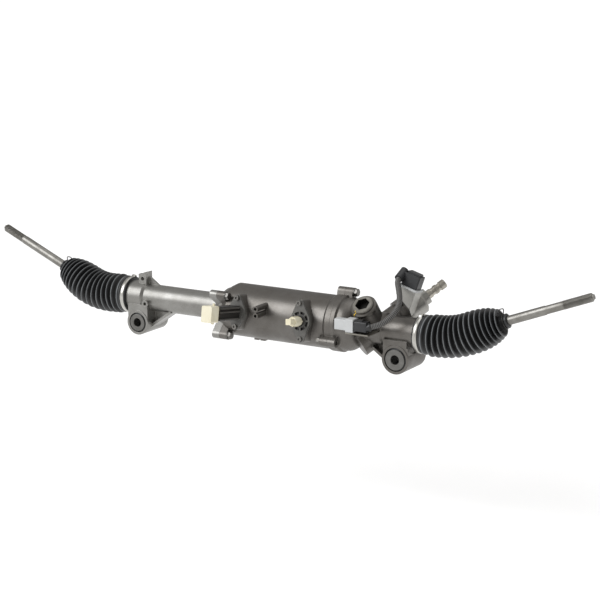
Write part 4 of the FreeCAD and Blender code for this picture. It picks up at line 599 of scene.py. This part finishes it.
def neck_points(place, last, length):
    """Rolled end behind the last crest, a recess, the clip's seat and the edge of the neck."""
    start = length - BOOT_NECK_LENGTH
    return [(place + 0.0014, last - 0.0018), (place + 0.0006, last - 0.0045),
            (place - 0.0035, BOOT_NECK_R + 0.0052), (place - 0.0048, BOOT_NECK_R + 0.0022),
            (place - 0.0030, BOOT_NECK_R + 0.0002), (start + 0.0030, BOOT_NECK_R - 0.0006),
            (start + 0.0050, BOOT_NECK_R - 0.0001), (start + 0.0092, BOOT_NECK_R - 0.0001),
            (length - 0.0036, BOOT_NECK_R + 0.0010), (length - 0.0012, BOOT_NECK_R + 0.0008),
            (length, BOOT_NECK_R - 0.0012)]


def boot_profile(length):
    """Outer skin from the lip to the neck, with folds that shrink towards the neck."""
    steps = [1.0] * (BOOT_CRESTS - 1 - len(BOOT_LAST_STEPS)) + list(BOOT_LAST_STEPS)
    crests = [BOOT_CREST_R] * (BOOT_CRESTS - len(BOOT_LAST_CRESTS)) + list(BOOT_LAST_CRESTS)
    pitch = (length - BOOT_NECK_LENGTH - 0.0015 - BOOT_FIRST_CREST) / sum(steps)
    points = cuff_points()
    points.append((BOOT_FIRST_CREST - 0.5 * pitch, BOOT_ROOT_R + 0.0012))
    place = BOOT_FIRST_CREST
    depth = BOOT_CREST_R - BOOT_ROOT_R
    for i, crest in enumerate(crests):
        before = pitch * (steps[i - 1] if i else 1.0)
        points.append((place - 0.10 * before, crest - 0.0006))
        points.append((place, crest))
        if i == len(crests) - 1:
            break
        step = pitch * steps[i]
        points.append((place + 0.12 * step, crest - 0.0008))
        low = min(crest, crests[i + 1]) - depth * (0.62 + 0.38 * min(1.0, steps[i]))
        points.append((place + 0.50 * step, low))
        place += step
    return smooth_line(points + neck_points(place, crests[-1], length), PROFILE_STEP)


def crest_share(profile, index):
    """How near a point lies to the nearest crest, from 0 in the valleys to 1 on the crests."""
    place, radius = profile[index]
    near = [r for d, r in profile if abs(d - place) < 0.0058]
    low, high = min(near), max(near)
    if high - low < 0.0025:
        return 0.72
    return (radius - low) / (high - low)


def boot_section(name, outward, profile, bores, caps):
    """A closed piece of the boot's wall; bores are the least radii near the large end and beyond."""
    at, _ = boot_path(outward)

    def ring(distance, radius):
        place, ahead = at(distance)
        side, up = cross_pair(ahead, Vector((0, 1, 0)))
        return circle(place, side, up, radius, BOOT_SEGMENTS)

    rings = [ring(d, r) for d, r in profile]
    inner = [(d, max(r - BOOT_WALL, bores[1] if d > 0.004 else bores[0])) for d, r in reversed(profile)]
    shares = [crest_share(profile, i) for i in range(len(profile))]
    if caps[0]:
        rings.insert(0, ring(profile[0][0], bores[0]))
        shares.insert(0, shares[0])
    if caps[1]:
        rings.append(ring(profile[-1][0], bores[1]))
        shares.append(0.6)
    points, faces = skin_rings(rings + [ring(d, r) for d, r in inner])
    obj = add_mesh(name, points, faces, "rubber", material="boot_rubber")
    # The inner wall gets crest value 0, the valleys' near-black painted shade
    add_crests(obj, shares + [0.0] * len(profile), BOOT_SEGMENTS)
    return obj


def boot(side, outward):
    """Three pieces of the boot's wall, bent round the ball seat towards the tie rod: the large end, the
    middle and the small end.
    """
    at, length = boot_path(outward)
    profile = boot_profile(length)
    first = ball_to_end(outward) + STRETCH_PAST_BALL
    second = ball_to_end(outward) + BEND_PAST_BALL
    cut_a = next(i for i, (d, _) in enumerate(profile) if d >= first)
    cut_b = next(i for i, (d, _) in enumerate(profile) if d >= second)
    spigot = LEFT_SPIGOT_R if outward < 0 else RIGHT_SPIGOT_R
    wide, narrow = (spigot, BOOT_BORE_R), (spigot, ROD_R + ROD_CLEARANCE)
    low = boot_section(side + "_boot_large_end", outward, profile[:cut_a + 1], wide, (True, False))
    mid = boot_section(side + "_boot_middle", outward, profile[cut_a:cut_b + 1], wide, (False, False))
    end = boot_section(side + "_boot_small_end", outward, profile[cut_b:], narrow, (False, True))
    at(STRETCH_START)[0]
    at(first)[0]
    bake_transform(low)
    at(first)[0]
    at(second)[0]
    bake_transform(mid)
    at(second)[0]
    at(length - BOOT_NECK_LENGTH)[0]
    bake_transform(end)
    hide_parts(side + "_boot")


for side, outward in SIDES:
    boot(side, outward)

# Boot clamps: a band with a crimped ear near its top
CLAMP_AT = -0.0055
CLAMP_HALF = 0.0040
CLAMP_THICKNESS = 0.0015
CLAMP_EDGE = 0.0010
CLAMP_SEGMENTS = 144
EAR_ANGLE = 104.0
EAR_HALF_ANGLE = 7.0
EAR_HEIGHT = 0.0040


def boot_clamp(side, outward):
    at, _ = boot_path(outward)
    place, ahead = at(CLAMP_AT)
    across, up = cross_pair(ahead)
    inner_edge = CLAMP_HALF - 0.0006
    profile = [(-CLAMP_HALF, 0.0), (-CLAMP_HALF, CLAMP_EDGE), (-inner_edge, CLAMP_THICKNESS),
               (inner_edge, CLAMP_THICKNESS), (CLAMP_HALF, CLAMP_EDGE), (CLAMP_HALF, 0.0), (-CLAMP_HALF, 0.0)]
    rings = []
    for offset, thick in profile:
        ring = []
        for i in range(CLAMP_SEGMENTS):
            angle = 2 * math.pi * i / CLAMP_SEGMENTS
            gap = min(abs(math.degrees(angle) - EAR_ANGLE) / EAR_HALF_ANGLE, 1.0)
            ear = EAR_HEIGHT * (0.5 + 0.5 * math.cos(math.pi * gap)) ** 0.6
            radius = BOOT_CUFF_R + thick + ear
            around = across * (radius * math.cos(angle)) + up * (radius * math.sin(angle))
            ring.append(place + ahead * offset + around)
        rings.append(ring)
    points, faces = skin_rings(rings)
    obj = add_mesh(side + "_clamp_band", points, faces, "plated_steel", "housing")
    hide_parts(side + "_boot_clamp")


# Wire clips: a ring round the boot's neck and a loop that stands up from it
CLIP_FROM_END = 0.0070
CLIP_GAP = 0.0010
CLIP_WIRE_R = 0.0010
LOOP_WIRE_R = 0.0009
LOOP_CORNERS = ((0.0000, 0.0008), (0.0036, 0.0060), (0.0030, 0.0092), (-0.0030, 0.0098), (-0.0044, 0.0064))
LOOP_STEPS = 8
WIRE_SEGMENTS = 12


def closed_wire(name, path, radius, body):
    """Round wire along a closed path of points."""
    rings = []
    count = len(path)
    middle = sum(path, Vector()) / count
    for i in range(count + 1):
        place = path[i % count]
        ahead = (path[(i + 1) % count] - path[(i - 1) % count]).normalized()
        side, up = cross_pair(ahead, middle - place)
        rings.append(circle(place, side, up, radius, WIRE_SEGMENTS))
    points, faces = skin_rings(rings)
    return add_mesh(name, points, faces, "bright_steel", body, material="wire_steel")


def wire_clip(side, outward):
    at, length = boot_path(outward)
    place, ahead = at(length - CLIP_FROM_END)
    across, up = cross_pair(ahead)
    radius = BOOT_NECK_R + CLIP_GAP
    body = side + "_tie_rod"
    ring = closed_wire(side + "_clip_ring", circle(place, across, up, radius, 64), CLIP_WIRE_R, body)
    loop = []
    count = len(LOOP_CORNERS)
    for i in range(count):
        corners = [LOOP_CORNERS[(i + k) % count] for k in (-1, 0, 1, 2)]
        for k in range(LOOP_STEPS):
            sideways, height = between(*corners, k / LOOP_STEPS)
            loop.append(place + (ahead * 0.8 + across * 0.6) * sideways + up * (radius + height))
    closed_wire(side + "_clip_loop", loop, LOOP_WIRE_R, body)
    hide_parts(side + "_boot_clip")


for side, outward in SIDES:
    boot_clamp(side, outward)
    wire_clip(side, outward)

# Bush sleeves: steel tubes with a wide flange at each end and a dark gap round it
SLEEVE_FRONT = -0.0315
SLEEVE_BACK = 0.0415
SLEEVE_BORE_R = 0.0085
SLEEVE_R = 0.0142
SLEEVE_FLANGE = 0.0025
SLEEVE_CHAMFER = 0.0008
SLEEVE_GAP = 0.0075
SLEEVE_SEGMENTS = 72


def bush_sleeve(side, x, lug_r):
    wide = lug_r - SLEEVE_GAP
    half = [(SLEEVE_CHAMFER, SLEEVE_BORE_R), (0.0, SLEEVE_BORE_R + SLEEVE_CHAMFER),
            (0.0, wide - SLEEVE_CHAMFER), (SLEEVE_CHAMFER, wide),
            (SLEEVE_FLANGE, wide), (SLEEVE_FLANGE, SLEEVE_R)]
    profile = [(SLEEVE_FRONT + inset, r) for inset, r in half]
    profile += [(SLEEVE_BACK - inset, r) for inset, r in reversed(half)]
    profile.append(profile[0])
    rings = [circle(at_row(x, y, -LUG_DROP), Vector((1, 0, 0)), Vector((0, 0, 1)), r, SLEEVE_SEGMENTS)
             for y, r in profile]
    points, faces = skin_rings(rings)
    obj = add_mesh(side + "_bush_sleeve", points, faces, "plated_steel", "housing", material="sleeve_steel")
    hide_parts(side + "_mount_sleeve")


bush_sleeve("left", 0.0, LEFT_LUG_R)
bush_sleeve("right", RIGHT_LUG_X, RIGHT_LUG_R)

# Ribs along the power connector's tower, coloured lighter than the black tower as a painted highlight
RIB_START = 0.066
RIB_END = 0.1375
RIB_HALF_WIDTH = 0.0116
RIB_HALF_HEIGHT = 0.0013
RIB_HEIGHTS = (0.0100, 0.0030, -0.0105)


def power_rib(number, height):
    corners = []
    for t in (RIB_START, RIB_END):
        for x in (-RIB_HALF_WIDTH, RIB_HALF_WIDTH):
            for z in (height - RIB_HALF_HEIGHT, height + RIB_HALF_HEIGHT):
                corners.append(at_row(POWER_X, 0, 0) + PAD_OUT * t + Vector((1, 0, 0)) * x + PAD_UP * z)
    faces = [(0, 1, 3, 2), (4, 6, 7, 5), (0, 4, 5, 1), (2, 3, 7, 6), (0, 2, 6, 4), (1, 5, 7, 3)]
    add_mesh("power_rib_%d" % number, corners, faces, "black_plastic", "housing", False, "rib_plastic")


for number, height in enumerate(RIB_HEIGHTS):
    power_rib(number, height)

# Yellow paint mark over the rack guide's plug and locknut
PAINT_ANGLE = math.radians(249.0)
PAINT_STEP = math.radians(1.6)
PAINT_WANDER = math.radians(0.8)
PAINT_POINTS = 4
PAINT_PLUG_R = 0.0197
PAINT_NUT_R = 0.0247


def paint_mark():
    foot = at_row(GUIDE_X, 0, 0)
    across = Vector((1, 0, 0))
    up = GUIDE_OUT.cross(across)
    plug_top, nut_top = top_of("rack_guide_plug"), top_of("rack_guide_locknut")
    line = [(0.0180, plug_top + 0.0001), (0.0192, plug_top + 0.0001), (PAINT_PLUG_R, plug_top - 0.0006),
            (PAINT_PLUG_R, nut_top + 0.0002), (0.0236, nut_top + 0.0002), (PAINT_NUT_R, nut_top - 0.0008),
            (PAINT_NUT_R, nut_top - 0.004)]
    points = []
    for number, (r, t) in enumerate(line):
        for k in range(PAINT_POINTS):
            angle = PAINT_ANGLE + PAINT_WANDER * math.sin(2.4 * number) + (k - 1.5) * PAINT_STEP
            points.append(foot + GUIDE_OUT * t + (across * math.cos(angle) + up * math.sin(angle)) * r)
    faces = []
    for row in range(len(line) - 1):
        for k in range(PAINT_POINTS - 1):
            a = row * PAINT_POINTS + k
            faces.append((a, a + 1, a + PAINT_POINTS + 1, a + PAINT_POINTS))
    add_mesh("paint_mark", points, faces, "black_plastic", "housing", material="yellow_paint")


paint_mark()


# Tie rods with cut threads
def rod_radius(t, angle):
    """Radius of the ball, neck, shank or cut thread at distance t from the ball's centre."""
    if t < ROD_NECK_START:
        least = POINT_R if t < 0 else ROD_NECK_R
        return math.sqrt(max(least ** 2, BALL_R ** 2 - t ** 2))
    if t < ROD_NECK_END:
        return ROD_NECK_R
    if t < ROD_FULL_START:
        return ROD_NECK_R + (ROD_R - ROD_NECK_R) * (t - ROD_NECK_END) / (ROD_FULL_START - ROD_NECK_END)
    if t < THREAD_START - THREAD_RUNOUT:
        return ROD_R
    if t < THREAD_START:
        return ROD_R - (ROD_R - THREAD_R) * (t - THREAD_START + THREAD_RUNOUT) / THREAD_RUNOUT
    if t > ROD_LENGTH - TIP_LENGTH:
        return TIP_R - TIP_CHAMFER * (t - ROD_LENGTH + TIP_LENGTH) / TIP_LENGTH
    turn = (t - THREAD_START) / THREAD_PITCH - angle / (2 * math.pi)
    saw = abs((turn % 1.0) * 2 - 1)
    groove = min(1.0, max(0.0, (saw - 0.12) / 0.76))
    fade = min(1.0, max(0.0, (t - THREAD_START) / THREAD_RUNOUT))
    radius = THREAD_R - THREAD_DEPTH * groove * fade
    if t > THREAD_END:
        radius = min(radius, THREAD_R - (t - THREAD_END))
    return radius


def rod_stations():
    """Distances along the rod at which its skin has a ring."""
    stations = [-BALL_R * math.cos(math.radians(a)) for a in range(0, 90, 9)]
    stations += [0.002, 0.004, 0.0068, 0.0090, 0.0105, ROD_NECK_START - 0.0002, ROD_NECK_START + 0.0001,
                 ROD_NECK_END, (ROD_NECK_END + ROD_FULL_START) / 2, ROD_FULL_START]
    t = ROD_FULL_START + 0.010
    while t < FLATS_START - 0.002:
        stations.append(t)
        t += 0.010
    stations += [FLATS_START - 0.0006, FLATS_START, FLATS_START + 0.005, FLATS_START + 0.011,
                 FLATS_START + 0.0185, FLATS_END - 0.0030, FLATS_END]
    t = THREAD_START + THREAD_PITCH / THREAD_STEPS
    while t < THREAD_END + 0.0016:
        stations.append(t)
        t += THREAD_PITCH / THREAD_STEPS
    tip = ROD_LENGTH - TIP_LENGTH
    stations += [tip - 0.00001, tip + 0.0001, ROD_LENGTH - 0.0004, ROD_LENGTH]
    return stations


def tie_rod(side, outward):
    origin, rod = rod_line(outward)
    across, up = cross_pair(rod)
    rings = []
    for t in rod_stations():
        ring = []
        for i in range(ROD_SEGMENTS):
            angle = 2 * math.pi * i / ROD_SEGMENTS
            radius = rod_radius(t, angle)
            a, b = radius * math.cos(angle), radius * math.sin(angle)
            if FLATS_START <= t <= FLATS_END:
                b = max(-FLATS_HALF, min(FLATS_HALF, b))
            ring.append(origin + rod * t + across * a + up * b)
        rings.append(ring)
    points, faces = skin_rings(rings, (True, True))
    obj = add_mesh(side + "_rod", points, faces, "rod_steel", side + "_tie_rod")
    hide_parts(side + "_tie_rod")


for side, outward in SIDES:
    tie_rod(side, outward)

# Harness conduit, along the same points as in the CAD
CONDUIT_ROUTE = (
    (0.5410, -0.0660, 0.0175),
    (0.5560, -0.0630, 0.0220),
    (0.5690, -0.0540, 0.0320),
    (0.5760, -0.0410, 0.0440),
    (0.5765, -0.0270, 0.0555),
    (0.5700, -0.0120, 0.0670),
    (0.5595, 0.0020, 0.0790),
    (0.5515, 0.0120, 0.0900),
    (0.5530, 0.0225, 0.0965),
)
CONDUIT_R = 0.0054
CONDUIT_PITCH = 0.0030
CONDUIT_GROOVE = 0.0009
CONDUIT_STEPS = 6
CONDUIT_SEGMENTS = 20


def nurbs_points(route):
    """Points along the smooth line that the route's points control."""
    curve = bpy.data.curves.new("route", "CURVE")
    curve.dimensions = "3D"
    curve.resolution_u = 48
    spline = curve.splines.new("NURBS")
    spline.points.add(len(route) - 1)
    for point, place in zip(spline.points, route):
        point.co = (*at_row(*place), 1.0)
    spline.order_u = 3
    spline.use_endpoint_u = True
    obj = bpy.data.objects.new("route", curve)
    bpy.context.scene.collection.objects.link(obj)
    bpy.context.view_layer.update()
    mesh = bpy.data.meshes.new_from_object(obj.evaluated_get(bpy.context.evaluated_depsgraph_get()))
    points = [vertex.co.copy() for vertex in mesh.vertices]
    bpy.data.objects.remove(obj)
    return points


def resample(points, step):
    """The same line with points at even distances of about one step, and its length."""
    total = sum((b - a).length for a, b in zip(points, points[1:]))
    count = max(2, round(total / step))
    result = [points[0].copy()]
    index, gone = 0, 0.0
    for i in range(1, count):
        goal = total * i / count
        while gone + (points[index + 1] - points[index]).length < goal:
            gone += (points[index + 1] - points[index]).length
            index += 1
        span = (points[index + 1] - points[index]).length
        result.append(points[index].lerp(points[index + 1], (goal - gone) / span))
    result.append(points[-1].copy())
    return result, total


def corrugated(name, route, radius, body):
    """Ridged tube along the route."""
    line, total = resample(nurbs_points(route), CONDUIT_PITCH / CONDUIT_STEPS)
    waves = [math.cos(2 * math.pi * i / CONDUIT_STEPS) for i in range(len(line))]
    rings = []
    _, up = cross_pair((line[1] - line[0]).normalized())
    for i, place in enumerate(line):
        ahead = (line[min(i + 1, len(line) - 1)] - line[max(i - 1, 0)]).normalized()
        side, up = cross_pair(ahead, up)
        groove = CONDUIT_GROOVE * (0.5 - 0.5 * max(-1.0, min(1.0, waves[i] * 1.4)))
        rings.append(circle(place, side, up, radius - groove, CONDUIT_SEGMENTS))
    points, faces = skin_rings(rings, (True, True))
    obj = add_mesh(name, points, faces, "black_plastic", body, material="conduit_plastic")
    add_crests(obj, [0.5 + 0.5 * wave for wave in waves], CONDUIT_SEGMENTS)
    return obj


conduit = corrugated("conduit_tube", CONDUIT_ROUTE, CONDUIT_R, "housing")
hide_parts("harness_conduit")

# Floor, well below the part, so that no shadow shows in the photograph's view
FLOOR_DROP = 0.30
FLOOR_HALF = 60.0


def add_floor():
    z = cad_box[0][2] - FLOOR_DROP
    corners = [(x * FLOOR_HALF, y * FLOOR_HALF, z) for x, y in ((-1, -1), (1, -1), (1, 1), (-1, 1))]
    mesh = bpy.data.meshes.new("floor")
    mesh.from_pydata(corners, [], [(0, 1, 2, 3)])
    floor = bpy.data.objects.new("floor", mesh)
    bpy.context.scene.collection.objects.link(floor)
    material, tree, shader, coords = new_material("floor")
    tree.links.new(ramp(tree, noise(tree, coords, 2.0), 0.3, 0.7, (0.91, 0.91, 0.91), (0.94, 0.94, 0.94)),
                   shader.inputs["Base Color"])
    shader.inputs["Roughness"].default_value = 0.9
    shader.inputs["Emission Color"].default_value = (1, 1, 1, 1)
    shader.inputs["Emission Strength"].default_value = 0.18
    mesh.materials.append(material)


def soft_sun(name, toward, strength, width, color=(1.0, 1.0, 1.0)):
    """Even soft light from one direction; width is the angle that it covers in the sky."""
    light = bpy.data.lights.new(name, "SUN")
    light.energy = strength
    light.angle = math.radians(width)
    light.color = color
    obj = bpy.data.objects.new(name, light)
    bpy.context.scene.collection.objects.link(obj)
    obj.rotation_mode = "QUATERNION"
    obj.rotation_quaternion = (-Vector(toward)).to_track_quat("-Z", "Y")


add_floor()
world = bpy.data.worlds.new("studio")
bpy.context.scene.world = world
world.use_nodes = True
world.node_tree.nodes["Background"].inputs["Color"].default_value = (1.0, 0.985, 0.965, 1)
world.node_tree.nodes["Background"].inputs["Strength"].default_value = 0.42
soft_sun("key", (-0.50, -0.65, 0.57), 2.15, 44.0, (0.97, 0.98, 1.0))
soft_sun("top", (0.10, 0.25, 1.0), 0.7, 60.0)
bpy.context.scene.view_settings.view_transform = "Standard"
